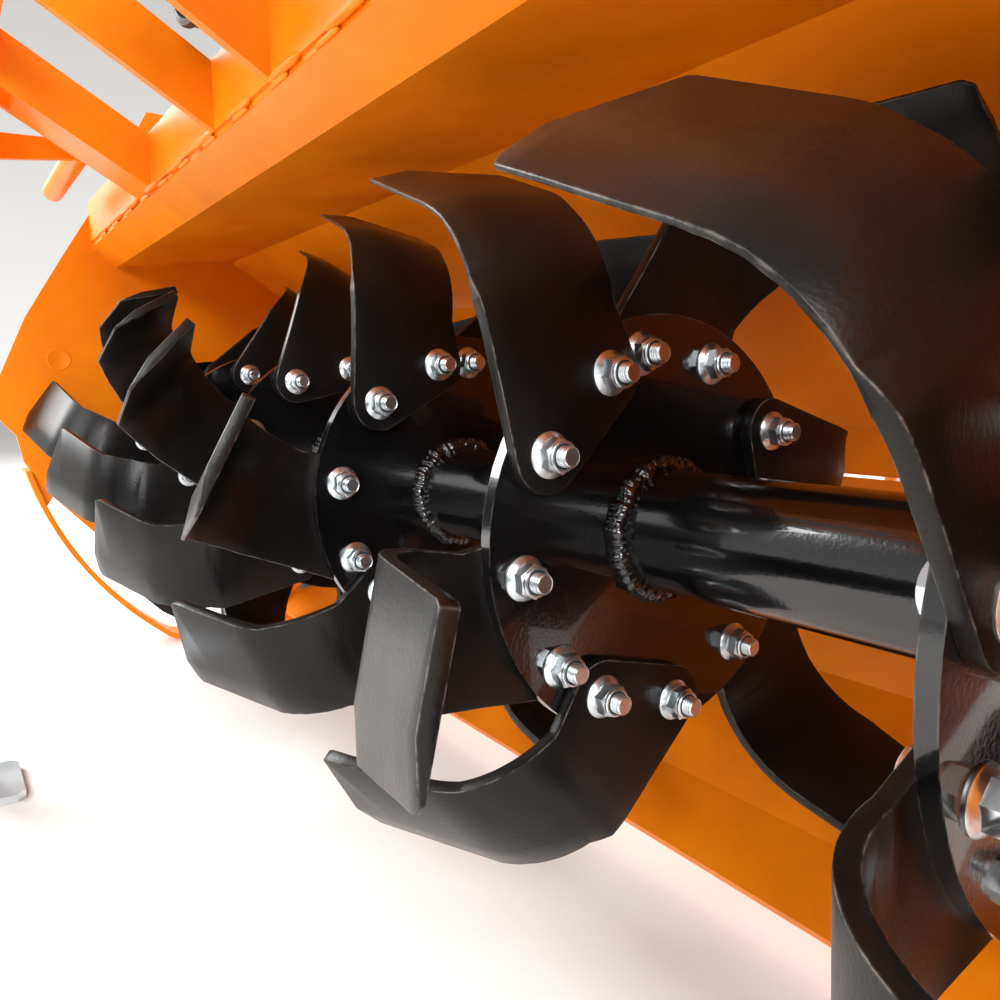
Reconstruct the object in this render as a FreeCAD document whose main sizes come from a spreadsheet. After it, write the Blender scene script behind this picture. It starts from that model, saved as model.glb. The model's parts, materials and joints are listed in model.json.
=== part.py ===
import FreeCAD
import Part
import Sketcher
import math
import os
from FreeCAD import Placement, Rotation, Vector
from types import SimpleNamespace

# Rotavator for a tractor's three-point linkage.
# Axes: +X is the machine's left, -Y its front, where the tractor is, and +Z is up.
# Every piece is drawn about the rotor's axis and then placed in the machine's frame,
# whose origin is on the floor under the middle of the machine's box.

DRIVING_SIZES = [
    # name, value in mm or degrees, what it is
    ("axis_height", 350, "rotor axis above the floor, standing on the skids"),
    ("side_inner", 755, "side plate's inner face from the machine's middle"),
    ("plate_thick", 8, "side plate"),
    ("sheet_thick", 5, "hood and rear board sheet"),
    ("deck_thick", 4, "deck plate over the hood's front fold"),
    ("hinge_y", 340, "rear board hinge axis"),
    ("hinge_z", 36, "rear board hinge axis"),
    ("hinge_bar", 8, "radius of the rear board's hinge bar"),
    ("knuckle_radius", 14, "knuckles and ears round the hinge bar"),
    ("knuckle_wide", 40, "rear board's knuckles along the bar"),
    ("knuckle_tall", 34, "rear board's knuckles down the board"),
    ("knuckle_pitch", 400, "one knuckle to the next"),
    ("ear_wide", 8, "plates that carry the hinge bar and the swivels"),
    ("ear_tall", 50, "hinge ears up the hood's back"),
    ("ear_pitch", 400, "one hinge ear to the next"),
    ("board_gap", 7, "rear board to each side plate"),
    ("beam_size", 60, "front beam, square tube"),
    ("beam_wall", 5, "front beam's wall"),
    ("bolt_circle", 110, "radius of the flange's bolt circle"),
    ("flange_radius", 132, "tine flange"),
    ("flange_thick", 8, "tine flange"),
    ("flange_end", 155, "end flange's middle from the side plate"),
    ("flange_count", 6, "tine flanges on the rotor"),
    ("face_tines", 3, "tines on each face of a flange"),
    ("tube_radius", 38.05, "rotor tube"),
    ("tube_wall", 8, "rotor tube's wall"),
    ("end_disc_radius", 118, "disc at each end of the rotor"),
    ("end_disc_thick", 8, "disc at each end of the rotor"),
    ("end_disc_gap", 6, "end disc to the side plate"),
    ("stub_radius", 25, "rotor's stub shaft in its bearing"),
    ("stub_hole", 35, "side plate's hole round the stub shaft"),
    ("stub_length", 38, "stub shaft beyond the side plate"),
    ("bearing_bore_deep", 40, "stub shaft's bore in its bearing"),
    ("running_gap", 0.1, "radial gap of a shaft in its bore"),
    ("tine_thick", 8, "tine bar"),
    ("tine_slope", 44, "degrees from the radius to the tine's bar"),
    ("tine_bend_at", 125, "start of the tine's bend, along its bar"),
    ("tine_bend_radius", 84, "tine's bend, at mid thickness"),
    ("tine_bend", 76, "tine's bend in degrees"),
    ("tine_foot", 84, "straight of the tine's foot"),
    ("tine_blank", 150, "half the width of the bar that the tine is trimmed from"),
    ("bolt_half_angle", 16.4, "tine bolt from the middle of its pair, in degrees"),
    ("lobe_radius", 22, "tine's cut edges round a bolt"),
    ("first_tine", 27.6, "first flange's first tine, degrees from the front"),
    ("tine_step", 16.4, "turn from one flange's tines to the next's, in degrees"),
    ("far_set_turn", 50.4, "turn from the tines on one face to the other face's"),
    ("gearbox_y", 60, "cross shaft behind the rotor axis"),
    ("gearbox_z", 455, "cross shaft above the rotor axis"),
    ("gearbox_width", 190, "gearbox along X"),
    ("gearbox_length", 210, "gearbox along Y"),
    ("gearbox_tall", 200, "gearbox along Z"),
    ("gearbox_cap", 12, "gearbox's caps over its cross shaft"),
    ("gearbox_cap_half", 68, "half the gearbox's square caps over its cross shaft"),
    ("gearbox_round", 26, "gearbox's upright corners"),
    ("gearbox_foot", 16, "gearbox's flange on its saddle"),
    ("gearbox_lid", 12, "gearbox's lid"),
    ("gearbox_lid_inset", 22, "gearbox's lid inside its walls"),
    ("gearbox_rib", 10, "gearbox's ribs"),
    ("input_cap", 22, "input bearing's cap"),
    ("input_cap_radius", 55, "input bearing's cap"),
    ("input_bore_deep", 40, "input shaft inside the gearbox"),
    ("saddle_thick", 10, "saddle's plates"),
    ("saddle_inset", 24, "saddle's webs in from its edges"),
    ("cross_tube_radius", 50, "tube from the gearbox to a side plate"),
    ("cross_tube_wall", 6, "wall of that tube"),
    ("tube_flange", 66, "half the square flange at each end of that tube"),
    ("tube_flange_thick", 12, "flange at each end of that tube"),
    ("tube_flange_cut", 22, "cut corners of that flange"),
    ("pto_radius", 17.45, "input shaft, 1 3/8 inch"),
    ("pto_shoulder", 20, "input shaft inside the gearbox"),
    ("pto_stub", 88, "input shaft's free length"),
    ("guard_radius", 72, "input guard"),
    ("guard_wall", 4, "input guard"),
    ("guard_length", 130, "input guard"),
    ("case_depth", 70, "drive case along X"),
    ("case_cover", 6, "drive case's cover"),
    ("case_cap", 8, "drive case's bearing caps"),
    ("case_rim", 10, "drive case's rim round its cover"),
    ("case_top_radius", 78, "drive case round the cross shaft"),
    ("case_foot_radius", 105, "drive case round the rotor axis"),
    ("case_top_cap", 42, "drive case's upper bearing cap"),
    ("case_foot_cap", 62, "drive case's lower bearing cap"),
    ("bearing_depth", 46, "rotor bearing outside the right plate"),
    ("bearing_flange", 80, "half the square flange of that bearing"),
    ("bearing_flange_thick", 16, "flange of that bearing"),
    ("bearing_cut", 30, "cut corners of that flange"),
    ("bearing_hub", 52, "hub of that bearing"),
    ("skid_width", 60, "skid sole along X"),
    ("skid_thick", 8, "skid sole"),
    ("skid_mid_rise", 157, "middle of the skid's front curve above the floor"),
    ("skid_low_rise", 33, "end of the skid's front curve above the floor"),
    ("skid_heel_bend", 23, "length of the skid's bend to the floor, each side of its corner"),
    ("skid_mid_y", -182, "middle of the skid's front curve"),
    ("skid_low_y", -74, "end of the skid's front curve"),
    ("skid_post_front", 90, "skid post's foot on the sole"),
    ("skid_post_back", 206, "skid post's foot on the sole"),
    ("skid_back", 210, "end of the skid's flat behind the rotor axis"),
    ("skid_tail_length", 45, "skid's lifted end behind its flat"),
    ("skid_tail_lift", 40, "skid's lifted end above its flat"),
    ("hitch_forward", 330, "lower pins ahead of the rotor axis"),
    ("hitch_up", 330, "lower pins above the rotor axis"),
    ("hitch_half", 362, "middle of a lower pin's gap from the machine's middle"),
    ("hitch_gap", 50, "gap between a lower pin's two plates"),
    ("hitch_eye", 28, "hitch plate round a lower pin"),
    ("hitch_eye_cut", 14, "cut corners of the hitch plate round a pin"),
    ("arm_rise", 30, "headstock arms' rise in degrees"),
    ("arm_web_short", 30, "arm's web plate short of the pin"),
    ("mast_height", 460, "top pin above the lower pins"),
    ("top_gap", 52, "gap between the top pin's two plates"),
    ("head_half", 30, "mast head round the top pin"),
    ("head_drop", 50, "mast head below the top pin"),
    ("leg_thick", 12, "mast legs"),
    ("leg_drop", 45, "mast legs' upper end below the top pin"),
    ("lower_pin_radius", 11, "category 1 lower pin"),
    ("top_pin_radius", 9.5, "category 1 top pin"),
    ("arm_plate", 10, "hitch plates"),
    ("inner_arm_half", 75, "inner arm's middle from the machine's middle"),
    ("cross_bar_tall", 50, "half cross bars"),
    ("stay_tall", 40, "backstays at the mast"),
    ("lug_plate_tall", 45, "backstays' lugs above the gearbox"),
    ("lug_plate_half", 22, "backstays' lugs along Y"),
    ("bridge_half_x", 70, "bridge plate on the gearbox"),
    ("bridge_half_y", 45, "bridge plate on the gearbox"),
    ("bridge_thick", 10, "bridge plate on the gearbox"),
    ("side_tube_y", -195, "side tube's axis"),
    ("side_tube_z", 380, "side tube's axis"),
    ("side_tube_radius", 14, "side tube"),
    ("side_tube_bore", 11.5, "side tube's bore radius"),
    ("side_tube_in", 440, "side tube's open end from the machine's middle"),
    ("side_tube_out", 700, "side tube's other end"),
    ("side_bar_thick", 8, "side tube's flat bar"),
    ("side_bar_over", 4, "side tube's flat bar at the hitch arm"),
    ("side_bar_under", 30, "side tube's flat bar at the hitch arm"),
    ("side_bar_edge", 3, "side tube's flat bar inside the tube's top and bottom"),
    ("rod_half", 300, "board rods from the machine's middle"),
    ("rod_radius", 8, "board rod"),
    ("rod_over", 62, "board rod beyond its swivel"),
    ("rod_eye_half", 6, "half the thickness of the board rod's eye"),
    ("rod_eye_radius", 13, "board rod's eye"),
    ("rod_eye_long", 26, "board rod's eye up to its shank"),
    ("rod_pin", 6, "board rod's pin"),
    ("rod_collar", 14, "board rod's stop collar"),
    ("rod_collar_tall", 12, "board rod's stop collar"),
    ("rod_collar_gap", 0.3, "board rod's stop collar over its swivel"),
    ("lug_radius", 14, "end radius of the board's rod lugs"),
    ("lug_gap", 14, "gap between the board's rod lugs"),
    ("lug_thick", 6, "board's rod lugs"),
    ("lug_over", 36, "rod lugs above their pin, on the board"),
    ("lug_under", 18, "rod lugs below their pin, on the board"),
    ("swivel_half", 18, "half the swivel block along X"),
    ("swivel_block", 16, "half the swivel block across the rod"),
    ("swivel_journal", 8, "swivel's journals"),
    ("swivel_bore_gap", 3, "radial gap of the rod in its swivel"),
    ("swivel_ear_in", 20, "swivel ears from the rod's middle"),
    ("swivel_ear_radius", 16, "swivel ears round the journals"),
    ("swivel_ear_front", 150, "swivel ears' foot on the hood"),
    ("swivel_ear_back", 240, "swivel ears' foot on the hood"),
    ("stand_y", -366, "stand leg"),
    ("stand_size", 40, "stand leg, square tube"),
    ("stand_wall", 4, "stand leg and its sleeve"),
    ("stand_gap", 0.3, "gap between leg and sleeve, each side"),
    ("stand_over", 30, "stand leg above its sleeve"),
    ("sleeve_tall", 110, "stand's sleeve"),
    ("sleeve_over_pin", 40, "stand's sleeve above the lower pins"),
    ("foot_size", 100, "stand's foot plate"),
    ("foot_thick", 8, "stand's foot plate"),
]

OUTLINE_POINTS = [
    # name of a corner, then its y and z from the rotor's axis, in mm
    ("lip_front", -140, 312),
    ("lip_back", -104, 285),
    ("crown", 84, 309),
    ("shoulder", 250, 200),
    ("hood_end", 318.5, 54),
    ("plate_nose", -297, 66),
    ("plate_brow", -239, 199),
    ("plate_slope", -182, 295),
    ("plate_neck", -117, 400),
    ("plate_top_front", -45, 535),
    ("plate_top_back", 155, 535),
    ("plate_nape", 215, 440),
    ("plate_back", 300, 225),
    ("plate_rear_high", 365, 62),
    ("plate_rear_low", 365, 8),
    ("plate_hip", 262, -118),
    ("plate_heel", 120, -200),
    ("plate_foot", 0, -215),
    ("plate_toe", -120, -190),
    ("plate_shin", -215, -85),
    ("plate_knee", -254, -25),
    ("plate_chin", -262, 18),
    ("plate_lip", -277, 35),
    ("board_top", 316, 8),
    ("board_knee", 286, -170),
    ("board_lap", 193, -273),
    ("board_trail", 135, -310),
    ("skid_front", -249.5, -38),
    ("tab_top_front", -262, 52),
    ("tab_top_back", -216, 52),
    ("tab_low_back", -202, -60),
    ("tab_low", -228, -100),
    ("tab_low_front", -240, -70),
    ("post_top_front", 118, -120),
    ("post_top_back", 188, -120),
    ("rod_foot", 385, -140),
    ("swivel", 345, 330),
]

TINE_POINTS = [
    # name of a corner beyond the bolts, then its distance along the tine's bar and across it
    ("tine_root", 95, -125),
    ("tine_shoulder", 136, -135),
    ("tine_heel", 196, -143),
    ("tine_tip_leading", 240, -113),
    ("tine_tip_trailing", 240, -39),
    ("tine_trailing_edge", 136, -43.5),
]


class Size:
    """A length or an angle: its value, and the expression that binds it to the sheet."""

    def __init__(self, value, text):
        self.value = value
        self.text = text

    def __add__(self, other):
        return Size(self.value + value_of(other), f"({self.text} + {text_of(other)})")

    def __radd__(self, other):
        return Size(value_of(other) + self.value, f"({text_of(other)} + {self.text})")

    def __sub__(self, other):
        return Size(self.value - value_of(other), f"({self.text} - {text_of(other)})")

    def __rsub__(self, other):
        return Size(value_of(other) - self.value, f"({text_of(other)} - {self.text})")

    def __mul__(self, other):
        return Size(self.value * value_of(other), f"({self.text} * {text_of(other)})")

    def __rmul__(self, other):
        return Size(value_of(other) * self.value, f"({text_of(other)} * {self.text})")

    def __truediv__(self, other):
        return Size(self.value / value_of(other), f"({self.text} / {text_of(other)})")

    def __rtruediv__(self, other):
        return Size(value_of(other) / self.value, f"({text_of(other)} / {self.text})")

    def __neg__(self):
        return Size(-self.value, f"(0 - {self.text})")


def value_of(amount):
    return amount.value if isinstance(amount, Size) else amount


def text_of(amount):
    return amount.text if isinstance(amount, Size) else repr(amount)


def sine(angle):
    return Size(math.sin(math.radians(angle.value)), f"sin({angle.text})")


def cosine(angle):
    return Size(math.cos(math.radians(angle.value)), f"cos({angle.text})")


def rise_of(angle):
    return Size(math.tan(math.radians(angle.value)), f"tan({angle.text})")


def distance(across, up):
    """Length of a slanted line from its two legs."""
    return Size(
        math.hypot(across.value, up.value),
        f"sqrt({across.text} * {across.text} + {up.text} * {up.text})",
    )


# The sheet: every driving size has a cell of its own, and each outline corner has two
doc = FreeCAD.newDocument("rotavator")
sheet = doc.addObject("Spreadsheet::Sheet", "sizes")
sheet.Label = "sizes"
cells = [(name, value, words) for name, value, words in DRIVING_SIZES]
for name, y, z in OUTLINE_POINTS:
    cells.append((f"{name}_y", y, f"{name}, corner of an outline"))
    cells.append((f"{name}_z", z, f"{name}, corner of an outline"))
for name, along, across in TINE_POINTS:
    cells.append((f"{name}_along", along, f"{name}, corner of the tine"))
    cells.append((f"{name}_across", across, f"{name}, corner of the tine"))
size = SimpleNamespace()
for row, (name, value, words) in enumerate(cells, start=1):
    sheet.set(f"A{row}", words)
    sheet.set(f"B{row}", str(value))
    sheet.setAlias(f"B{row}", name)
    setattr(size, name, Size(value, f"sizes.{name}"))
doc.recompute()


def corner(name):
    """An outline corner (y, z) from the sheet."""
    return getattr(size, f"{name}_y"), getattr(size, f"{name}_z")


outer_face = size.side_inner + size.plate_thick
MIDDLE = (
    (size.side_inner + size.skid_width - outer_face - size.case_depth) / 2,
    (size.foot_size / 2 - size.stand_y - size.rod_foot_y - size.lug_radius) / 2,
    size.axis_height,
)
sub_parts = []
REARWARDS = (1, 0)
OCTAGON = math.sqrt(2) - 1


def keep(item, label):
    """Names a finished sub-part and puts it in the machine's frame."""
    item.Label = label
    for axis, amount in zip("xyz", MIDDLE):
        item.setExpression(f"Placement.Base.{axis}", text_of(amount))
    sub_parts.append(item)
    return item


def keep_mirrored(item, label):
    """The same sub-part on the machine's other side."""
    other = doc.addObject("Part::Mirroring", label)
    other.Source = item
    other.Normal = Vector(1, 0, 0)
    other.setExpression("Base.x", text_of(MIDDLE[0]))
    other.Label = label
    sub_parts.append(other)
    return other


def both_sides(item, label):
    """One sub-part of two like solids, one on each side of the machine."""
    other = doc.addObject("Part::Mirroring", f"{item.Name}_other")
    other.Source = item
    other.Normal = Vector(1, 0, 0)
    pair = doc.addObject("Part::Compound", label)
    pair.Links = [item, other]
    return keep(pair, label)


def new_body(name):
    """A body, which may hold like solids that don't touch."""
    body = doc.addObject("PartDesign::Body", f"{name}_body")
    body.AllowCompound = True
    return body


def origin_part(body, role):
    return next(item for item in body.Origin.OriginFeatures if item.Role == role)


def new_sketch(body, plane, height):
    """A sketch parallel to one of the body's planes, at a height along the plane's normal."""
    item = body.newObject("Sketcher::SketchObject", f"{body.Name}_sketch")
    item.AttachmentSupport = [(origin_part(body, plane), "")]
    item.MapMode = "FlatFace"
    item.setExpression("AttachmentOffset.Base.z", text_of(height))
    return item


def hold(sketch, kind, where, amount):
    """A dimension in a sketch, bound to the sheet."""
    index = sketch.addConstraint(Sketcher.Constraint(kind, *where, value_of(amount)))
    sketch.setExpression(f"Constraints[{index}]", text_of(amount))


def pin_down(sketch, element, place):
    """Holds a point of a sketch at its two distances from the sketch's origin."""
    hold(sketch, "DistanceX", (-1, 1, *element), place[0])
    hold(sketch, "DistanceY", (-1, 1, *element), place[1])


def circle(sketch, place, radius):
    centre = Vector(value_of(place[0]), value_of(place[1]), 0)
    index = sketch.addGeometry(Part.Circle(centre, Vector(0, 0, 1), value_of(radius)))
    hold(sketch, "Radius", (index,), radius)
    pin_down(sketch, (index, 3), place)


def spot(place):
    return Vector(value_of(place[0]), value_of(place[1]), 0)


def bulge(place):
    """A place's radius: none at a corner, and negative where the outline bends inwards."""
    return value_of(place[2]) if len(place) == 3 else 0


def straight(first, second):
    """Where the line between two places leaves the first and meets the second."""
    way = spot(second) - spot(first)
    lean = (bulge(first) - bulge(second)) / way.Length
    way = way / way.Length
    side = Vector(way.y, -way.x, 0)
    normal = side * math.sqrt(1 - lean * lean) + way * lean
    return spot(first) + normal * bulge(first), spot(second) + normal * bulge(second)


def outline(sketch, places):
    """A closed outline of lines and tangent arcs. A place is a corner (u, v), or an arc's
    centre and radius (u, v, radius)."""
    turning = sum(spot(a).cross(spot(b)).z for a, b in zip(places, places[1:] + places[:1]))
    if turning < 0:
        places = places[::-1]
    count = len(places)
    lines = [straight(places[i], places[(i + 1) % count]) for i in range(count)]
    first = sketch.GeometryCount
    sketch.addGeometry([Part.LineSegment(a, b) for a, b in lines])
    for i, place in enumerate(places):
        before = first + (i - 1) % count
        after = first + i
        if bulge(place) == 0:
            sketch.addConstraint(Sketcher.Constraint("Coincident", before, 2, after, 1))
            pin_down(sketch, (after, 1), place)
            continue
        ends = [lines[(i - 1) % count][1], lines[i][0]]
        if bulge(place) < 0:
            ends = ends[::-1]
        angles = [math.atan2((end - spot(place)).y, (end - spot(place)).x) for end in ends]
        if angles[1] < angles[0]:
            angles[1] += 2 * math.pi
        round_line = Part.Circle(spot(place), Vector(0, 0, 1), abs(bulge(place)))
        arc = sketch.addGeometry(Part.ArcOfCircle(round_line, *angles))
        meets, leaves = (1, 2) if bulge(place) > 0 else (2, 1)
        sketch.addConstraint(Sketcher.Constraint("Tangent", before, 2, arc, meets))
        sketch.addConstraint(Sketcher.Constraint("Tangent", arc, leaves, after, 1))
        hold(sketch, "Radius", (arc,), place[2] if bulge(place) > 0 else -place[2])
        pin_down(sketch, (arc, 3), place)


def pad(sketch, length):
    item = sketch.getParentGeoFeatureGroup().newObject("PartDesign::Pad", f"{sketch.Name}_pad")
    item.Profile = sketch
    item.setExpression("Length", text_of(length))
    return item


def pocket(sketch, length):
    """A cut against the sketch's normal."""
    item = sketch.getParentGeoFeatureGroup().newObject(
        "PartDesign::Pocket", f"{sketch.Name}_pocket"
    )
    item.Profile = sketch
    item.setExpression("Length", text_of(length))
    return item


def plate_x(body, places, low, high, holes=()):
    """A plate across X from low to high. Its outline is of (y, z), its holes (y, z, radius)."""
    sketch = new_sketch(body, "YZ_Plane", low)
    outline(sketch, places)
    for y, z, radius in holes:
        circle(sketch, (y, z), radius)
    return pad(sketch, high - low)


def round_x(body, place, radius, low, high, bore=None):
    """A disc or a tube along X about a place (y, z)."""
    sketch = new_sketch(body, "YZ_Plane", low)
    circle(sketch, place, radius)
    if bore is not None:
        circle(sketch, place, bore)
    return pad(sketch, high - low)


def bore_x(body, place, radius, low, high):
    """A hole along X, cut from high down to low."""
    sketch = new_sketch(body, "YZ_Plane", high)
    circle(sketch, place, radius)
    return pocket(sketch, high - low)


def plate_y(body, places, front, back):
    """A plate across Y. Its outline is of (x, z)."""
    sketch = new_sketch(body, "XZ_Plane", -back)
    outline(sketch, places)
    return pad(sketch, back - front)


def round_y(body, place, radius, front, back, bore=None):
    """A disc or a tube along Y about a place (x, z)."""
    sketch = new_sketch(body, "XZ_Plane", -back)
    circle(sketch, place, radius)
    if bore is not None:
        circle(sketch, place, bore)
    return pad(sketch, back - front)


def bore_y(body, place, radius, front, back):
    """A hole along Y, cut from its front to its back."""
    sketch = new_sketch(body, "XZ_Plane", -front)
    circle(sketch, place, radius)
    return pocket(sketch, back - front)


def plate_z(body, places, low, high):
    """A plate across Z. Its outline is of (x, y)."""
    sketch = new_sketch(body, "XY_Plane", low)
    outline(sketch, places)
    return pad(sketch, high - low)


def oblong(low_u, low_v, high_u, high_v, cut=None):
    """Corners of a rectangle, with cut corners if asked for."""
    if cut is None:
        return [(low_u, low_v), (high_u, low_v), (high_u, high_v), (low_u, high_v)]
    return [
        (low_u + cut, low_v),
        (high_u - cut, low_v),
        (high_u, low_v + cut),
        (high_u, high_v - cut),
        (high_u - cut, high_v),
        (low_u + cut, high_v),
        (low_u, high_v - cut),
        (low_u, low_v + cut),
    ]


def blunt_end(place, radius, heading):
    """Four corners (y, z) that cut a plate's end round a pin, like half an octagon."""
    ends = []
    for ahead, beside in ((OCTAGON, -1), (1, -OCTAGON), (1, OCTAGON), (OCTAGON, 1)):
        ends.append(
            (
                place[0] + radius * (heading[0] * ahead - heading[1] * beside),
                place[1] + radius * (heading[1] * ahead + heading[0] * beside),
            )
        )
    return ends


def outer_line(corners, thick):
    """Where the outer side of a folded sheet turns, in the same order as its inner corners."""
    points = [spot(place) for place in corners]
    turned = []
    for i, point in enumerate(points):
        ways = [b - a for a, b in zip(points, points[1:])][max(i - 1, 0) : i + 1]
        normals = [Vector(-way.y, way.x, 0) / way.Length for way in ways]
        square = normals[0].dot(normals[-1])
        turned.append(point + (normals[0] + normals[-1]) * (thick.value / (1 + square)))
    return turned


def folded(body, corners, thick, low, high):
    """A sheet folded along X. Its inner side follows the corners (y, z), and its outer side
    is held parallel to the left of them."""
    sketch = new_sketch(body, "YZ_Plane", low)
    inner = [spot(place) for place in corners]
    loop = inner + outer_line(corners, thick)[::-1]
    sketch.addGeometry([Part.LineSegment(a, b) for a, b in zip(loop, loop[1:] + loop[:1])])
    count = len(loop)
    folds = len(corners) - 1
    for i in range(count):
        sketch.addConstraint(Sketcher.Constraint("Coincident", i, 2, (i + 1) % count, 1))
    for i, place in enumerate(corners):
        pin_down(sketch, (i, 1), place)
    for i in range(folds):
        opposite = count - 2 - i
        sketch.addConstraint(Sketcher.Constraint("Parallel", i, opposite))
        hold(sketch, "Distance", (opposite, 1, i), thick)
    sketch.addConstraint(Sketcher.Constraint("Perpendicular", folds - 1, folds))
    sketch.addConstraint(Sketcher.Constraint("Perpendicular", 0, count - 1))
    return pad(sketch, high - low)


def beside(start, end, thick):
    """The start of a slanted line (y, z), moved to the line's left by a thickness."""
    long = distance(end[0] - start[0], end[1] - start[1])
    return (
        start[0] - (end[1] - start[1]) * thick / long,
        start[1] + (end[0] - start[0]) * thick / long,
    )


def height_over(start, end, thick, y):
    """Height at y of the outer side of a sheet's straight stretch."""
    outer = beside(start, end, thick)
    return outer[1] + (end[1] - start[1]) * (y - outer[0]) / (end[0] - start[0])


def depth_behind(start, end, thick, z):
    """Place along Y, at height z, of the outer side of a sheet's straight stretch."""
    outer = beside(start, end, thick)
    return outer[0] + (end[0] - start[0]) * (z - outer[1]) / (end[1] - start[1])


# Hood: one sheet folded round the rotor, from the front seam to the rear hinge
lip_front = corner("lip_front")
lip_back = corner("lip_back")
crown = corner("crown")
shoulder = corner("shoulder")
hood_end = corner("hood_end")
hood = new_body("hood")
folded(
    hood,
    [lip_front, lip_back, crown, shoulder, hood_end],
    size.sheet_thick,
    -size.side_inner,
    size.side_inner,
)
keep(hood, "hood")


def above_hood(y):
    """Height of the hood's outer side at y, behind its crown."""
    return height_over(crown, shoulder, size.sheet_thick, y)


def behind_hood(z):
    """Place along Y of the hood's outer side at z, on its rear panel."""
    return depth_behind(shoulder, hood_end, size.sheet_thick, z)


# Deck plate over the hood's front fold, and the front beam that stands on its front edge
deck_low = beside(lip_front, lip_back, size.sheet_thick)
deck_high = height_over(lip_back, crown, size.sheet_thick, size.crown_y)
deck_top = size.lip_front_z + size.sheet_thick + size.deck_thick
deck = new_body("deck")
plate_x(
    deck,
    [deck_low, (size.crown_y, deck_high), (size.crown_y, deck_top), (deck_low[0], deck_top)],
    -size.side_inner,
    size.side_inner,
)
keep(deck, "deck_plate")


def box(name, length, width, height, base):
    """A block from its lowest corner."""
    item = doc.addObject("Part::Box", name)
    for path, amount in (("Length", length), ("Width", width), ("Height", height)):
        item.setExpression(path, text_of(amount))
    for axis, amount in zip("xyz", base):
        item.setExpression(f"Placement.Base.{axis}", text_of(amount))
    return item


def less(name, base, tool):
    item = doc.addObject("Part::Cut", name)
    item.Base = base
    item.Tool = tool
    return item


beam_front = size.lip_front_y
beam_top = deck_top + size.beam_size
beam_hollow = size.beam_size - 2 * size.beam_wall
beam_outside = box(
    "beam_outside",
    2 * size.side_inner,
    size.beam_size,
    size.beam_size,
    (-size.side_inner, beam_front, deck_top),
)
beam_inside = box(
    "beam_inside",
    2 * size.side_inner,
    beam_hollow,
    beam_hollow,
    (-size.side_inner, beam_front + size.beam_wall, deck_top + size.beam_wall),
)
keep(less("beam_tube", beam_outside, beam_inside), "front_beam")

# Side plates, with a hole round the rotor's stub shaft
PLATE_CORNERS = (
    "nose brow slope neck top_front top_back nape back rear_high rear_low "
    "hip heel foot toe shin knee chin lip"
).split()
side_plate = new_body("side_plate")
plate_x(
    side_plate,
    [corner(f"plate_{name}") for name in PLATE_CORNERS],
    size.side_inner,
    outer_face,
    holes=[(0, 0, size.stub_hole)],
)
keep(side_plate, "side_plate_left")
keep_mirrored(side_plate, "side_plate_right")


def skid_sole():
    """The skid's bent flat bar: a front curve, a bend to the floor, a flat and a lifted end."""
    half = size.skid_thick.value / 2
    floor = -size.axis_height.value
    start = Vector(0, size.skid_front_y.value, size.skid_front_z.value)
    middle = Vector(0, size.skid_mid_y.value, floor + size.skid_mid_rise.value)
    end = Vector(0, size.skid_low_y.value, floor + size.skid_low_rise.value)
    curve = Part.Arc(start, middle, end).toShape()
    way = curve.tangentAt(curve.LastParameter)
    heel = end + way * ((floor + half - end.z) / way.z)
    backwards = Vector(0, 1, 0)
    turn_in = heel - way * size.skid_heel_bend.value
    turn_out = heel + backwards * size.skid_heel_bend.value
    flat_end = Vector(0, size.skid_back.value, floor + half)
    tail = flat_end + Vector(0, size.skid_tail_length.value, size.skid_tail_lift.value)
    to_centre = Vector(0, -way.z, way.y)
    turned = math.acos(way.dot(backwards))
    radius = size.skid_heel_bend.value / math.tan(turned / 2)
    bend_centre = turn_in + to_centre * radius
    bend_middle = bend_centre - (to_centre + Vector(0, 0, 1)).normalize() * radius
    path = Part.Wire(
        [
            curve,
            Part.makeLine(end, turn_in),
            Part.Arc(turn_in, bend_middle, turn_out).toShape(),
            Part.makeLine(turn_out, flat_end),
            Part.makeLine(flat_end, tail),
        ]
    )
    sides = [path.makeOffset2D(gap, 0, False, True).OrderedVertexes for gap in (half, -half)]
    first, second = [[vertex.Point for vertex in side] for side in sides]
    if first[0].distanceToPoint(second[0]) > first[0].distanceToPoint(second[-1]):
        second = second[::-1]
    edges = []
    for gap in (half, -half):
        edges += path.makeOffset2D(gap, 0, False, True).Edges
    edges.append(Part.makeLine(first[0], second[0]))
    edges.append(Part.makeLine(first[-1], second[-1]))
    section = Part.Face(Part.Wire(Part.__sortEdges__(edges)))
    section.translate(Vector(size.side_inner.value, 0, 0))
    return section.extrude(Vector(size.skid_width.value, 0, 0))


# Skids: the bent sole under each side plate, and a front tab and a rear post on the plate
sole = doc.addObject("Part::Feature", "skid_sole")
sole.Shape = skid_sole()
skid_posts = new_body("skid_posts")
sole_middle = size.skid_thick / 2 - size.axis_height
plate_x(
    skid_posts,
    [corner(f"tab_{name}") for name in ("top_front", "top_back", "low_back", "low", "low_front")],
    outer_face,
    outer_face + size.plate_thick,
)
plate_x(
    skid_posts,
    [
        corner("post_top_front"),
        corner("post_top_back"),
        (size.skid_post_back, sole_middle),
        (size.skid_post_front, sole_middle),
    ],
    outer_face,
    outer_face + size.plate_thick,
)
skid = doc.addObject("Part::MultiFuse", "skid")
skid.Shapes = [sole, skid_posts]
skid.Refine = True
keep(skid, "skid_left")
keep_mirrored(skid, "skid_right")

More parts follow.
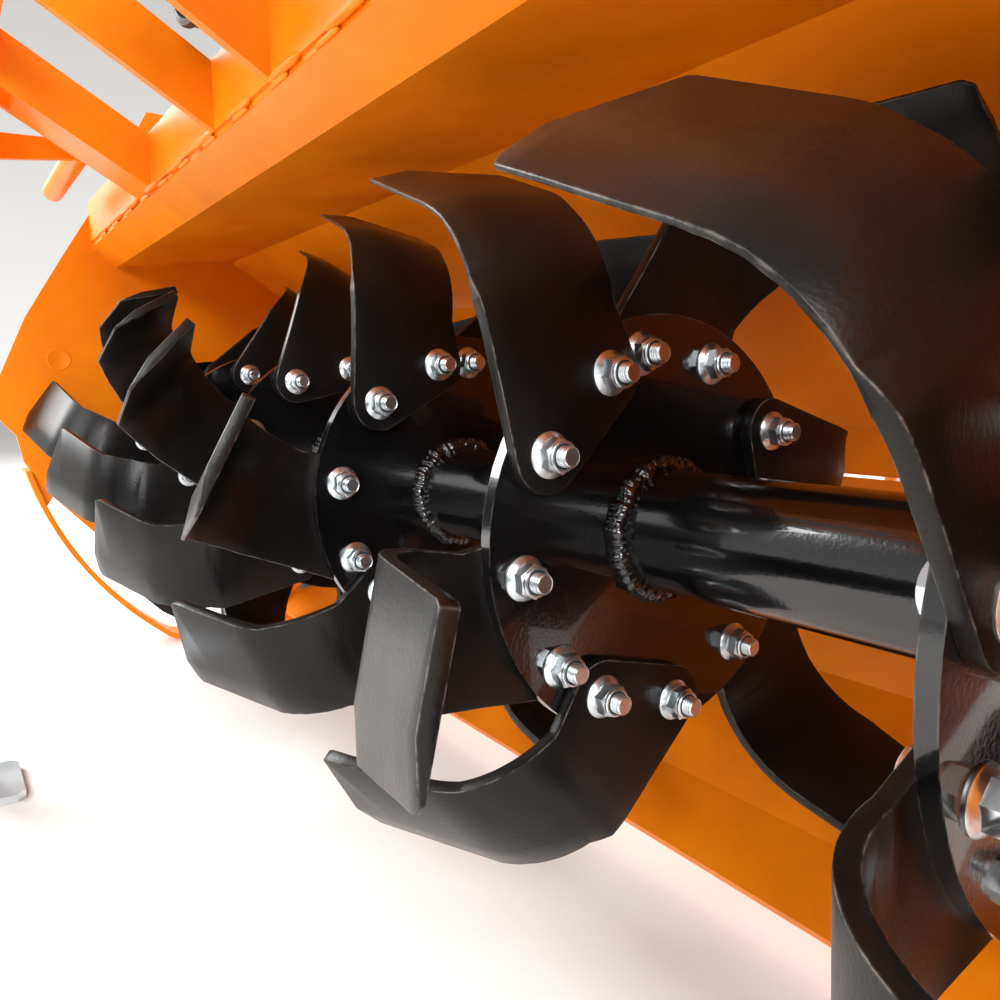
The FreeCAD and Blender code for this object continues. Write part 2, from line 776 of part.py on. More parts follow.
# Gearbox: a cast body with a flanged foot, a lid, caps over its shafts and ribs
gear_low = size.gearbox_z - size.gearbox_tall / 2
gear_top = size.gearbox_z + size.gearbox_tall / 2
gear_front = size.gearbox_y - size.gearbox_length / 2
gear_back = size.gearbox_y + size.gearbox_length / 2
gear_side = size.gearbox_width / 2
wall_side = gear_side - size.gearbox_cap
lid_low = gear_top - size.gearbox_lid
cross_shaft = (size.gearbox_y, size.gearbox_z)
input_axis = (0, size.gearbox_z)
inset = size.gearbox_round
gearbox = new_body("gearbox")
plate_z(
    gearbox,
    oblong(-gear_side, gear_front, gear_side, gear_back, cut=size.gearbox_round / 2),
    gear_low,
    gear_low + size.gearbox_foot,
)
plate_z(
    gearbox,
    [
        (wall_side - inset, gear_front + inset, inset),
        (wall_side - inset, gear_back - inset, inset),
        (inset - wall_side, gear_back - inset, inset),
        (inset - wall_side, gear_front + inset, inset),
    ],
    gear_low,
    lid_low,
)
lid_inset = size.gearbox_lid_inset
plate_z(
    gearbox,
    oblong(
        lid_inset - gear_side,
        gear_front + lid_inset,
        gear_side - lid_inset,
        gear_back - lid_inset,
        cut=lid_inset,
    ),
    lid_low,
    gear_top,
)
plate_x(
    gearbox,
    oblong(
        cross_shaft[0] - size.gearbox_cap_half,
        cross_shaft[1] - size.gearbox_cap_half,
        cross_shaft[0] + size.gearbox_cap_half,
        cross_shaft[1] + size.gearbox_cap_half,
        cut=size.tube_flange_cut,
    ),
    -gear_side,
    gear_side,
)
cap_front = gear_front - size.input_cap
round_y(gearbox, input_axis, size.input_cap_radius, cap_front, gear_front)
for side in (-1, 0, 1):
    rib_middle = size.gearbox_y + side * size.gearbox_cap_half
    half_rib = size.gearbox_rib / 2
    plate_y(
        gearbox,
        [
            (-gear_side, gear_low),
            (gear_side, gear_low),
            (wall_side, size.gearbox_z),
            (-wall_side, size.gearbox_z),
        ],
        rib_middle - half_rib,
        rib_middle + half_rib,
    )
bore_y(
    gearbox,
    input_axis,
    size.pto_shoulder + size.running_gap,
    cap_front,
    gear_front + size.input_bore_deep,
)
keep(gearbox, "gearbox")

# Saddle: two webs on the deck and the hood, and the plate that the gearbox stands on
saddle = new_body("saddle")
SADDLE_WEB = [
    (gear_front, deck_top),
    (size.crown_y, deck_top),
    (size.crown_y, above_hood(size.crown_y)),
    (gear_back, above_hood(gear_back)),
    (gear_back, gear_low),
    (gear_front, gear_low),
]
web_out = gear_side - size.saddle_inset
web_in = web_out - size.saddle_thick
plate_x(saddle, SADDLE_WEB, web_in, web_out)
plate_x(saddle, SADDLE_WEB, -web_out, -web_in)
plate_z(
    saddle,
    oblong(-gear_side, gear_front, gear_side, gear_back),
    gear_low - size.saddle_thick,
    gear_low,
)
keep(saddle, "gearbox_saddle")

# Cross tubes from the gearbox to the side plates, with a square flange at each end
tube_bore = size.cross_tube_radius - size.cross_tube_wall
cross_tube = new_body("cross_tube")
round_x(
    cross_tube, cross_shaft, size.cross_tube_radius, gear_side, size.side_inner, bore=tube_bore
)
flange_square = oblong(
    cross_shaft[0] - size.tube_flange,
    cross_shaft[1] - size.tube_flange,
    cross_shaft[0] + size.tube_flange,
    cross_shaft[1] + size.tube_flange,
    cut=size.tube_flange_cut,
)
for flange_low in (gear_side, size.side_inner - size.tube_flange_thick):
    plate_x(
        cross_tube,
        flange_square,
        flange_low,
        flange_low + size.tube_flange_thick,
        holes=[(*cross_shaft, tube_bore)],
    )
keep(cross_tube, "drive_tube")
keep_mirrored(cross_tube, "support_tube")

# Drive case outside the left plate: a closed box whose flanks are tangent to its round ends,
# with a cover inside its rim and a bearing cap at each end
foot_shaft = (0, 0)
case_out = outer_face + size.case_depth
cap_low = case_out - size.case_cap
cover_low = cap_low - size.case_cover
case = new_body("case")
plate_x(
    case,
    [(*foot_shaft, size.case_foot_radius), (*cross_shaft, size.case_top_radius)],
    outer_face,
    cover_low,
)
plate_x(
    case,
    [
        (*foot_shaft, size.case_foot_radius - size.case_rim),
        (*cross_shaft, size.case_top_radius - size.case_rim),
    ],
    cover_low,
    cap_low,
)
round_x(case, foot_shaft, size.case_foot_cap, cap_low, case_out)
round_x(case, cross_shaft, size.case_top_cap, cap_low, case_out)
stub_bore = size.stub_radius + size.running_gap
bore_x(case, foot_shaft, stub_bore, outer_face, outer_face + size.bearing_bore_deep)
keep(case, "drive_case")

# Rotor bearing outside the right plate, drawn on the left and mirrored
bearing = new_body("bearing")
plate_x(
    bearing,
    oblong(
        -size.bearing_flange,
        -size.bearing_flange,
        size.bearing_flange,
        size.bearing_flange,
        cut=size.bearing_cut,
    ),
    outer_face,
    outer_face + size.bearing_flange_thick,
)
round_x(
    bearing,
    foot_shaft,
    size.bearing_hub,
    outer_face + size.bearing_flange_thick,
    outer_face + size.bearing_depth,
)
bore_x(bearing, foot_shaft, stub_bore, outer_face, outer_face + size.bearing_bore_deep)
for axis, amount in zip("xyz", MIDDLE):
    bearing.setExpression(f"Placement.Base.{axis}", text_of(amount))
keep_mirrored(bearing, "rotor_bearing")

# Input guard on the gearbox's front face, and the input shaft with its shoulder inside
guard = new_body("guard")
round_y(
    guard,
    input_axis,
    size.guard_radius,
    gear_front - size.guard_length,
    gear_front,
    bore=size.guard_radius - size.guard_wall,
)
keep(guard, "pto_guard")
pto = new_body("pto")
round_y(pto, input_axis, size.pto_shoulder, cap_front, gear_front + size.input_bore_deep)
round_y(pto, input_axis, size.pto_radius, cap_front - size.pto_stub, cap_front)
keep(pto, "pto_shaft")

# Headstock arms: they rise forward from the front beam to the lower pins
pin_y = -size.hitch_forward
pin_z = size.hitch_up
pin = (pin_y, pin_z)
eye = size.hitch_eye
eye_cut = size.hitch_eye_cut
eye_back = pin_y + eye
eye_front = pin_y - eye


def on_rise(y, start_z):
    """Height at y of an arm's edge that leaves the beam's front at start_z."""
    return start_z + (beam_front - y) * rise_of(size.arm_rise)


arm_top = on_rise(eye_back, beam_top)
arm_bend = eye_back + eye_cut
OUTER_ARM = [
    (beam_front, deck_top),
    (arm_bend, on_rise(arm_bend, deck_top)),
    (eye_back, pin_z - eye_cut),
    (pin_y + eye_cut, pin_z - eye),
    (pin_y - eye_cut, pin_z - eye),
    (eye_front, pin_z - eye_cut),
    (eye_front, arm_top),
    (eye_back, arm_top),
    (beam_front, beam_top),
]
web_front = eye_back + size.arm_web_short
ARM_WEB = [
    (beam_front, deck_top),
    (web_front, on_rise(web_front, deck_top)),
    (web_front, on_rise(web_front, deck_top) + size.arm_plate),
    (beam_front, deck_top + size.arm_plate),
]
gap_in = size.hitch_half - size.hitch_gap / 2
gap_out = size.hitch_half + size.hitch_gap / 2
arm_in = gap_in - size.arm_plate
arm_out = gap_out + size.arm_plate
pin_hole = (*pin, size.lower_pin_radius + size.running_gap)
outer_arm = new_body("outer_arm")
plate_x(outer_arm, ARM_WEB, gap_in, gap_out)
plate_x(outer_arm, OUTER_ARM, arm_in, gap_in, holes=[pin_hole])
plate_x(outer_arm, OUTER_ARM, gap_out, arm_out, holes=[pin_hole])
keep(outer_arm, "hitch_arm_left")
keep_mirrored(outer_arm, "hitch_arm_right")

inner_high = size.inner_arm_half + size.arm_plate / 2
inner_low = size.inner_arm_half - size.arm_plate / 2
inner_arm = new_body("inner_arm")
plate_x(
    inner_arm,
    [
        (beam_front, deck_top),
        (eye_back, on_rise(eye_back, deck_top)),
        (eye_back, arm_top),
        (beam_front, beam_top),
    ],
    inner_low,
    inner_high,
)
both_sides(inner_arm, "inner_arms")

# Half cross bars between the arms' front ends, clear of the input shaft
cross_bar = new_body("cross_bar")
bar_back = eye_back + size.arm_plate
plate_x(
    cross_bar,
    [
        (eye_back, arm_top),
        (eye_back, arm_top - size.cross_bar_tall),
        (bar_back, arm_top - size.cross_bar_tall),
        (bar_back, on_rise(bar_back, beam_top)),
    ],
    inner_high,
    arm_in,
)
both_sides(cross_bar, "cross_bars")

# Mast: two legs to a head with the top pin's two plates, braced back to the gearbox
top_z = pin_z + size.mast_height
head_in = size.top_gap / 2
head_out = head_in + size.arm_plate
head_half = size.head_half
head_back = eye_back + head_half
mast_leg = new_body("mast_leg")
plate_y(
    mast_leg,
    [
        (arm_in, arm_top),
        (arm_out, arm_top),
        (head_out, top_z + head_half),
        (head_out, top_z - size.leg_drop),
    ],
    eye_back - size.leg_thick,
    eye_back,
)
both_sides(mast_leg, "mast_legs")
head_cut = size.leg_thick
head_low = top_z - size.head_drop
HEAD = [
    (pin_y - head_half, top_z - head_cut),
    (pin_y - head_cut, head_low),
    (head_back, head_low),
    (head_back, top_z + head_half),
    (pin_y - head_cut, top_z + head_half),
    (pin_y - head_half, top_z + head_cut),
]
top_hole = (pin_y, top_z, size.top_pin_radius + size.running_gap)
mast_head = new_body("mast_head")
plate_x(
    mast_head,
    oblong(head_back - size.arm_plate, head_low, head_back, top_z + head_half),
    -head_in,
    head_in,
)
plate_x(mast_head, HEAD, head_in, head_out, holes=[top_hole])
plate_x(mast_head, HEAD, -head_out, -head_in, holes=[top_hole])
keep(mast_head, "mast_head")

# Backstays from the mast head to lugs on the gearbox
lug_half = size.lug_plate_half
bridge_top = gear_top + size.bridge_thick
lug_top = gear_top + size.lug_plate_tall
stay = new_body("stay")
plate_x(
    stay,
    [
        (eye_back, top_z - size.stay_tall),
        (eye_back, top_z),
        (head_back, top_z),
        (size.gearbox_y + lug_half, lug_top),
        (size.gearbox_y + lug_half, bridge_top),
        (size.gearbox_y - lug_half, bridge_top),
    ],
    head_out,
    head_out + size.arm_plate,
)
both_sides(stay, "backstays")
bridge = new_body("bridge")
plate_z(
    bridge,
    oblong(
        -size.bridge_half_x,
        size.gearbox_y - size.bridge_half_y,
        size.bridge_half_x,
        size.gearbox_y + size.bridge_half_y,
        cut=size.bridge_thick,
    ),
    gear_top,
    bridge_top,
)
LUG_PLATE = [
    (size.gearbox_y - size.bridge_half_y, bridge_top),
    (size.gearbox_y + size.bridge_half_y, bridge_top),
    (size.gearbox_y + lug_half, lug_top),
    (size.gearbox_y - lug_half, lug_top),
]
plate_x(bridge, LUG_PLATE, head_in, head_out)
plate_x(bridge, LUG_PLATE, -head_out, -head_in)
keep(bridge, "backstay_bridge")

# Side tubes: open-ended, each on a flat bar from a hitch arm
side_axis = (size.side_tube_y, size.side_tube_z)
bar_high = size.side_tube_z + size.side_bar_over
bar_low = size.side_tube_z - size.side_bar_under
bar_edge = size.side_tube_radius - size.side_bar_edge
side_tube = new_body("side_tube")
plate_x(
    side_tube,
    [
        (size.side_tube_y, size.side_tube_z - bar_edge),
        (size.side_tube_y, size.side_tube_z + bar_edge),
        (pin_y, bar_high),
        (pin_y, bar_low),
    ],
    size.side_tube_in,
    size.side_tube_in + size.side_bar_thick,
)
plate_x(
    side_tube,
    oblong(pin_y, bar_low, pin_y + size.side_bar_thick, bar_high),
    arm_out,
    size.side_tube_in + size.side_bar_thick,
)
round_x(side_tube, side_axis, size.side_tube_radius, size.side_tube_in, size.side_tube_out)
bore_x(side_tube, side_axis, size.side_tube_bore, size.side_tube_in, size.side_tube_out)
both_sides(side_tube, "side_tubes")

# Rear board's hinge bar, on the side plates and on ears behind the hood
hinge = corner("hinge")
bar = new_body("bar")
round_x(bar, hinge, size.hinge_bar, -size.side_inner, size.side_inner)
keep(bar, "hinge_bar")
ears = new_body("ears")
ear_low = size.hood_end_z
ear_high = size.hood_end_z + size.ear_tall
for place in (-1, 0, 1):
    low_x = place * size.ear_pitch - size.ear_wide / 2
    plate_x(
        ears,
        [
            (behind_hood(ear_low), ear_low),
            (*hinge, size.knuckle_radius),
            (behind_hood(ear_high), ear_high),
        ],
        low_x,
        low_x + size.ear_wide,
        holes=[(*hinge, size.hinge_bar)],
    )
keep(ears, "hinge_ears")


# Rear board: a folded sheet with a doubled edge, knuckles on the hinge bar and the rods' lugs
board_top = corner("board_top")
board_knee = corner("board_knee")
board_lap = corner("board_lap")
board_trail = corner("board_trail")
board_half = size.side_inner - size.board_gap
board = new_body("board")
folded(
    board,
    [board_top, board_knee, board_lap, board_trail],
    size.sheet_thick,
    -board_half,
    board_half,
)
folded(board, [board_lap, board_trail], 2 * size.sheet_thick, -board_half, board_half)


def behind_board(z):
    """Place along Y of the board's outer side at z, on its upper panel."""
    return depth_behind(board_top, board_knee, size.sheet_thick, z)


knuckle_low = size.board_top_z - size.knuckle_tall
knuckle_high = size.board_top_z - size.sheet_thick
bite = size.sheet_thick / 2
for place in (-1.5, -0.5, 0.5, 1.5):
    low_x = place * size.knuckle_pitch - size.knuckle_wide / 2
    plate_x(
        board,
        [
            (behind_board(knuckle_low) - bite, knuckle_low),
            (*hinge, size.knuckle_radius),
            (behind_board(knuckle_high) - bite, knuckle_high),
        ],
        low_x,
        low_x + size.knuckle_wide,
    )
bore_x(board, hinge, size.hinge_bar + size.running_gap, -board_half, board_half)
rod_foot = corner("rod_foot")
lug_low = size.rod_foot_z - size.lug_under
lug_high = size.rod_foot_z + size.lug_over
half_gap = size.lug_gap / 2
for side in (-1, 1):
    rod_x = side * size.rod_half
    for low_x in (rod_x - half_gap - size.lug_thick, rod_x + half_gap):
        plate_x(
            board,
            [
                (behind_board(lug_low) - bite, lug_low),
                *blunt_end(rod_foot, size.lug_radius, REARWARDS),
                (behind_board(lug_high) - bite, lug_high),
            ],
            low_x,
            low_x + size.lug_thick,
        )
    pin_half = half_gap + size.lug_thick / 2
    round_x(board, rod_foot, size.rod_pin, rod_x - pin_half, rod_x + pin_half)
keep(board, "rear_board")

# Board rods: an eye on the board's pin, a shank, and a hexagonal stop nut over the swivel
swivel = corner("swivel")
rod_length = distance(swivel[0] - rod_foot[0], swivel[1] - rod_foot[1])
rod_way_y = (swivel[0] - rod_foot[0]) / rod_length
rod_way_z = (swivel[1] - rod_foot[1]) / rod_length
rod_lean = f"asin(0 - {text_of(rod_way_y)})"


def on_rod(along, beside_rod):
    """A place (y, z) from the rod's pin: so far along the rod and so far to its rear."""
    return (
        rod_foot[0] + rod_way_y * along + rod_way_z * beside_rod,
        rod_foot[1] + rod_way_z * along - rod_way_y * beside_rod,
    )


def along_rod(kind, name, radius_name, radius, rod_x, start, length):
    """A cylinder or a prism along the rod from a distance above its pin."""
    item = doc.addObject(kind, name)
    item.setExpression(radius_name, text_of(radius))
    item.setExpression("Height", text_of(length))
    base = "; ".join(text_of(amount) for amount in (rod_x, *on_rod(start, 0)))
    item.setExpression(
        "Placement", f"placement(vector({base}); rotation(vector(1; 0; 0); {rod_lean}))"
    )
    return item


def round_on_rod(name, rod_x, radius, start, length):
    return along_rod("Part::Cylinder", name, "Radius", radius, rod_x, start, length)


swivel_block = size.swivel_block
collar_start = rod_length + swivel_block + size.rod_collar_gap
shank_start = size.rod_eye_long - size.rod_eye_half
for label, side in (("left", 1), ("right", -1)):
    rod_x = side * size.rod_half
    rod_eye = new_body(f"eye_{label}")
    plate_x(
        rod_eye,
        [
            *blunt_end(rod_foot, size.rod_eye_radius, (-rod_way_y, -rod_way_z)),
            on_rod(size.rod_eye_long, size.rod_eye_half),
            on_rod(size.rod_eye_long, -size.rod_eye_half),
        ],
        rod_x - size.rod_eye_half,
        rod_x + size.rod_eye_half,
        holes=[(*rod_foot, size.rod_pin + size.running_gap)],
    )
    shank = round_on_rod(
        f"shank_{label}",
        rod_x,
        size.rod_radius,
        shank_start,
        rod_length + size.rod_over - shank_start,
    )
    collar = along_rod(
        "Part::Prism",
        f"collar_{label}",
        "Circumradius",
        size.rod_collar,
        rod_x,
        collar_start,
        size.rod_collar_tall,
    )
    rod = doc.addObject("Part::MultiFuse", f"rod_{label}")
    rod.Shapes = [rod_eye, shank, collar]
    rod.Refine = True
    keep(rod, f"board_rod_{label}")

    block = new_body(f"swivel_{label}")
    plate_x(
        block,
        [
            on_rod(rod_length - swivel_block, -swivel_block),
            on_rod(rod_length - swivel_block, swivel_block),
            on_rod(rod_length + swivel_block, swivel_block),
            on_rod(rod_length + swivel_block, -swivel_block),
        ],
        rod_x - size.swivel_half,
        rod_x + size.swivel_half,
    )
    journal_half = size.swivel_ear_in + size.ear_wide
    round_x(block, swivel, size.swivel_journal, rod_x - journal_half, rod_x + journal_half)
    way_through = round_on_rod(
        f"way_{label}",
        rod_x,
        size.rod_radius + size.swivel_bore_gap,
        rod_length - 2 * swivel_block,
        4 * swivel_block,
    )
    keep(less(f"bored_swivel_{label}", block, way_through), f"rod_swivel_{label}")

# Ears on the hood that carry the swivels
swivel_ears = new_body("swivel_ears")
for side in (-1, 1):
    rod_x = side * size.rod_half
    for low_x in (rod_x - size.swivel_ear_in - size.ear_wide, rod_x + size.swivel_ear_in):
        plate_x(
            swivel_ears,
            [
                (size.swivel_ear_front, above_hood(size.swivel_ear_front)),
                (size.swivel_ear_back, above_hood(size.swivel_ear_back)),
                (*swivel, size.swivel_ear_radius),
            ],
            low_x,
            low_x + size.ear_wide,
            holes=[(*swivel, size.swivel_journal + size.running_gap)],
        )
keep(swivel_ears, "swivel_ears")

# Parking stand: a leg in a sleeve on the right hitch arm
sleeve_half = size.stand_size / 2 + size.stand_gap + size.stand_wall
stand_x = sleeve_half - arm_in
sleeve_low = pin_z + size.sleeve_over_pin
leg_top = sleeve_low + size.sleeve_tall + size.stand_over


def square_tube(body, half, wall, low, high):
    """An upright square tube about the stand's axis."""
    sketch = new_sketch(body, "XY_Plane", low)
    for reach in (half, half - wall):
        outline(
            sketch,
            oblong(
                stand_x - reach, size.stand_y - reach, stand_x + reach, size.stand_y + reach
            ),
        )
    return pad(sketch, high - low)


sleeve = new_body("sleeve")
square_tube(sleeve, sleeve_half, size.stand_wall, sleeve_low, sleeve_low + size.sleeve_tall)
keep(sleeve, "stand_sleeve")
leg = new_body("leg")
foot_half = size.foot_size / 2
foot_top = size.foot_thick - size.axis_height
plate_z(
    leg,
    oblong(
        stand_x - foot_half,
        size.stand_y - foot_half,
        stand_x + foot_half,
        size.stand_y + foot_half,
        cut=size.foot_thick,
    ),
    -size.axis_height,
    foot_top,
)
square_tube(leg, size.stand_size / 2, size.stand_wall, foot_top, leg_top)
keep(leg, "stand_leg")

# Rotor: a tube with a row of tine flanges, an end disc and a stub shaft at each end
rotor = new_body("rotor")
disc_face = size.side_inner - size.end_disc_gap
disc_inside = disc_face - size.end_disc_thick
tube_hollow = size.tube_radius - size.tube_wall
round_x(rotor, (0, 0), size.tube_radius, -disc_inside, disc_inside)
first_flange = size.side_inner - size.flange_end
flange_pitch = 2 * first_flange / (size.flange_count - 1)
flange = round_x(
    rotor,
    (0, 0),
    size.flange_radius,
    -first_flange - size.flange_thick / 2,
    size.flange_thick / 2 - first_flange,
)
doc.recompute()
flange_row = rotor.newObject("PartDesign::LinearPattern", "flange_row")
flange_row.Originals = [flange]
flange_row.Direction = (origin_part(rotor, "X_Axis"), [""])
flange_row.setExpression("Length", text_of(2 * first_flange))
flange_row.setExpression("Occurrences", text_of(size.flange_count))
rotor.Tip = flange_row
bore_x(rotor, (0, 0), tube_hollow, -disc_inside, disc_inside)
stub_end = outer_face + size.stub_length
round_x(rotor, (0, 0), size.end_disc_radius, disc_inside, disc_face)
round_x(rotor, (0, 0), size.stub_radius, disc_face, stub_end)
round_x(rotor, (0, 0), size.end_disc_radius, -disc_face, -disc_inside)
round_x(rotor, (0, 0), size.stub_radius, -stub_end, -disc_face)
keep(rotor, "rotor_shaft")

# Tine: a flat bar bent across its flange and trimmed to its outline seen along the rotor.
# It is drawn with its bar towards -Y, and its shank on the left face of a flange at x = 0.
# Its outline runs round the two bolts, whose places come from the bolt circle.
half_bar = size.tine_thick / 2
shank_x = size.flange_thick / 2 + half_bar


def bolt_place(turn):
    """A bolt (y, z) at an angle from the tine's radius, seen from the tine's own bar."""
    angle = size.tine_slope - turn
    return -size.bolt_circle * cosine(angle), -size.bolt_circle * sine(angle)


def tine_place(name):
    return -getattr(size, f"{name}_along"), getattr(size, f"{name}_across")


tine_reach = -size.tine_tip_leading_along
inwards = (cosine(size.tine_slope), sine(size.tine_slope))
lead_end = blunt_end(bolt_place(-size.bolt_half_angle), size.lobe_radius, inwards)
trail_end = blunt_end(bolt_place(size.bolt_half_angle), size.lobe_radius, inwards)
tine_blank = new_body("tine_outline")
plate_x(
    tine_blank,
    [
        lead_end[1],
        lead_end[0],
        tine_place("tine_root"),
        tine_place("tine_shoulder"),
        tine_place("tine_heel"),
        tine_place("tine_tip_leading"),
        tine_place("tine_tip_trailing"),
        tine_place("tine_trailing_edge"),
        trail_end[3],
        trail_end[2],
    ],
    tine_reach,
    shank_x + size.tine_thick,
)
bend_centre = (shank_x - size.tine_bend_radius, -size.tine_bend_at)


def foot_end(out):
    """A corner (x, y) of the tine's foot, on the outer or the inner side of its bend."""
    radius = size.tine_bend_radius + out
    return (
        bend_centre[0] + radius * cosine(size.tine_bend) - size.tine_foot * sine(size.tine_bend),
        bend_centre[1] - radius * sine(size.tine_bend) - size.tine_foot * cosine(size.tine_bend),
    )


bent_bar = new_body("tine_bar")
plate_z(
    bent_bar,
    [
        (shank_x + half_bar, 0),
        (*bend_centre, size.tine_bend_radius + half_bar),
        foot_end(half_bar),
        foot_end(-half_bar),
        (*bend_centre, half_bar - size.tine_bend_radius),
        (shank_x - half_bar, 0),
    ],
    -size.tine_blank,
    size.tine_blank,
)
near_tine = doc.addObject("Part::Common", "near_tine")
near_tine.Base = bent_bar
near_tine.Tool = tine_blank
far_tine = doc.addObject("Part::Mirroring", "far_tine")
far_tine.Source = near_tine
far_tine.Normal = Vector(1, 0, 0)

# Tines on both faces of a flange: those on its left face bend to the right, and the others back.
# The left end's flange comes first, and each flange's set is turned on from the one before.
TINE_SETS = [
    # shape, degrees from the set's first tine
    (near_tine, 0),
    (far_tine, size.far_set_turn),
]
for index in range(int(size.flange_count.value)):
    flange_x = first_flange - index * flange_pitch
    tines = []
    for shape, set_turn in TINE_SETS:
        for place in range(int(size.face_tines.value)):
            face_turn = 360 / size.face_tines * place
            turn = size.first_tine + index * size.tine_step + face_turn + set_turn
            tine = doc.addObject("App::Link", f"tine_{index + 1}_{len(tines) + 1}")
            tine.LinkedObject = shape
            tine.setExpression(
                "Placement",
                f"placement(vector({text_of(flange_x)}; 0; 0);"
                f" rotation(vector(-1; 0; 0); {text_of(turn + size.tine_slope)}))",
            )
            tines.append(tine)
    tine_set = doc.addObject("Part::Compound", f"tine_set_{index + 1}")
    tine_set.Links = tines
    keep(tine_set, f"tines_{index + 1}")

# Every object and solid is tested before any file is written
doc.recompute()
for item in doc.Objects:
    if "Invalid" in item.State or "Error" in item.State:
        raise RuntimeError(f"{item.Name} failed: {item.State}")
for part in sub_parts:
    if part.Shape.isNull() or not part.Shape.isValid():
        raise RuntimeError(f"{part.Label} has no valid shape")

os.makedirs("parts", exist_ok=True)
whole = FreeCAD.BoundBox()
for part in sub_parts:
    part.Shape.exportStep(f"parts/{part.Label}.step")
    whole.add(part.Shape.BoundBox)
    print(f"{part.Label}: {len(part.Shape.Solids)} solids, {part.Shape.Volume / 1000:.0f} cm3")
print(f"{len(sub_parts)} sub-parts, box {whole}")
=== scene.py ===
import json
import math

import bmesh
import bpy
from mathutils import Matrix, Vector, noise


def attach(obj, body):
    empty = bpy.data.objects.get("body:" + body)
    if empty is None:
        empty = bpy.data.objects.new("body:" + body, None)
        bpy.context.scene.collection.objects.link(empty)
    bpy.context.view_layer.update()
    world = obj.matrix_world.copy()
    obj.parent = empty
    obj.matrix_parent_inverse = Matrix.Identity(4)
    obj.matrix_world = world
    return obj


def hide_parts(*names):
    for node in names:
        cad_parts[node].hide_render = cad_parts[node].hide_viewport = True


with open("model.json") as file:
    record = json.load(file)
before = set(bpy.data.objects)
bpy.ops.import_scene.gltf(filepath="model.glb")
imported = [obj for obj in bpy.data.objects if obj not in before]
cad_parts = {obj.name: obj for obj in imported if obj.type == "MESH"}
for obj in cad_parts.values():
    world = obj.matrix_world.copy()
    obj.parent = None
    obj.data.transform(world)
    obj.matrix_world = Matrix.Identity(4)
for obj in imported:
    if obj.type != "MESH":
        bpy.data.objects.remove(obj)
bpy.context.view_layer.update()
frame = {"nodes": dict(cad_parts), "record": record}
nodes = frame["nodes"]
bpy.ops.object.select_all(action="DESELECT")
print("nodes of the packed rotavator:", len(nodes))

# %% [markdown]
# The rotavator's rotor axis is the natural zero for almost every place on this machine: the
# tines, the flanges, the hood and the side plates were all drawn about it. The frame's own zero
# is on the floor, so one helper turns "millimetres from the rotor's axis" into the frame's
# metres. Typing metres from the floor everywhere would work too, but then no number could be
# checked against the machine with a rule.

# %% Places measured from the rotor's axis
MM = 0.001
ROTOR_AXIS = Vector((-0.009, 0.0085, 0.350))
TO_FRAME = Matrix.Translation(ROTOR_AXIS) @ Matrix.Scale(MM, 4)


def place(x, y, z):
    """A point in millimetres from the rotor's axis, as metres in the frame."""
    return TO_FRAME @ Vector((x, y, z))


def turn_about(axis, degrees):
    return Matrix.Rotation(math.radians(degrees), 4, axis)


print("rotor axis in the frame:", tuple(ROTOR_AXIS))

# %% [markdown]
# The camera stands low in front of the machine, close to its left side plate, and looks along
# the rotor to the far plate. It is almost level, so the rotor's discs show as ellipses that
# shrink with distance. A short lens of about 30 mm on a 36 mm frame gives the strong
# foreshortening of the nearest tine. Turning the camera by its three angles, in place of a
# Track To constraint, keeps it where it is put when the model is viewed from elsewhere.

# %% Camera
CAMERA_PLACE = (722, -374, 85)
CAMERA_PITCH = -0.131
CAMERA_YAW = 0.963
camera_data = bpy.data.cameras.new("camera")
camera_data.lens = 29.52
camera_data.sensor_width = 36
camera_data.clip_start = 0.005
camera = bpy.data.objects.new("camera", camera_data)
camera.location = place(*CAMERA_PLACE)
camera.rotation_euler = (math.pi / 2 + CAMERA_PITCH, 0, CAMERA_YAW)
bpy.context.scene.collection.objects.link(camera)
bpy.context.scene.camera = camera
print("camera at", tuple(round(value, 3) for value in camera.location))

# %% [markdown]
# Materials here are node trees. Writing each node in full takes four lines, so one helper adds
# a node, sets its options and fills its inputs, where an input is either a value or another
# node's output. It keeps every recipe below short enough to read as a sentence.

# %% Node helpers


def step(tree, kind, inputs=None, **options):
    """Adds one node; an input is a value or another node's output."""
    made = tree.nodes.new(kind)
    for name, value in options.items():
        setattr(made, name, value)
    for name, value in (inputs or {}).items():
        if isinstance(value, bpy.types.NodeSocket):
            tree.links.new(value, made.inputs[name])
        else:
            made.inputs[name].default_value = value
    return made


def new_group(name, inputs, outputs):
    """An empty node group with named sockets, and its two end nodes."""
    group = bpy.data.node_groups.new(name, "ShaderNodeTree")
    for socket_name, value in inputs:
        made = group.interface.new_socket(socket_name, in_out="INPUT", socket_type="NodeSocketFloat")
        made.default_value = value
    for socket_name in outputs:
        group.interface.new_socket(socket_name, in_out="OUTPUT", socket_type="NodeSocketFloat")
    return group, group.nodes.new("NodeGroupInput"), group.nodes.new("NodeGroupOutput")


def blotches(tree, scale, detail, low, high, coordinates=None):
    """Noise on the object's own coordinates, spread between two levels."""
    where = coordinates or step(tree, "ShaderNodeTexCoord").outputs["Object"]
    made = step(
        tree,
        "ShaderNodeTexNoise",
        {"Vector": where, "Scale": scale, "Detail": detail, "Roughness": 0.6},
    )
    spread = step(
        tree,
        "ShaderNodeMapRange",
        {"Value": made.outputs["Fac"], "From Min": low, "From Max": high},
    )
    return spread.outputs["Result"]


def mix_colours(tree, mask, low, high):
    """One colour where the mask is 0 and another where it is 1."""
    made = step(tree, "ShaderNodeMix", data_type="RGBA")
    for index, value in ((0, mask), (6, low), (7, high)):
        if isinstance(value, bpy.types.NodeSocket):
            tree.links.new(value, made.inputs[index])
        else:
            made.inputs[index].default_value = value
    return made.outputs[2]


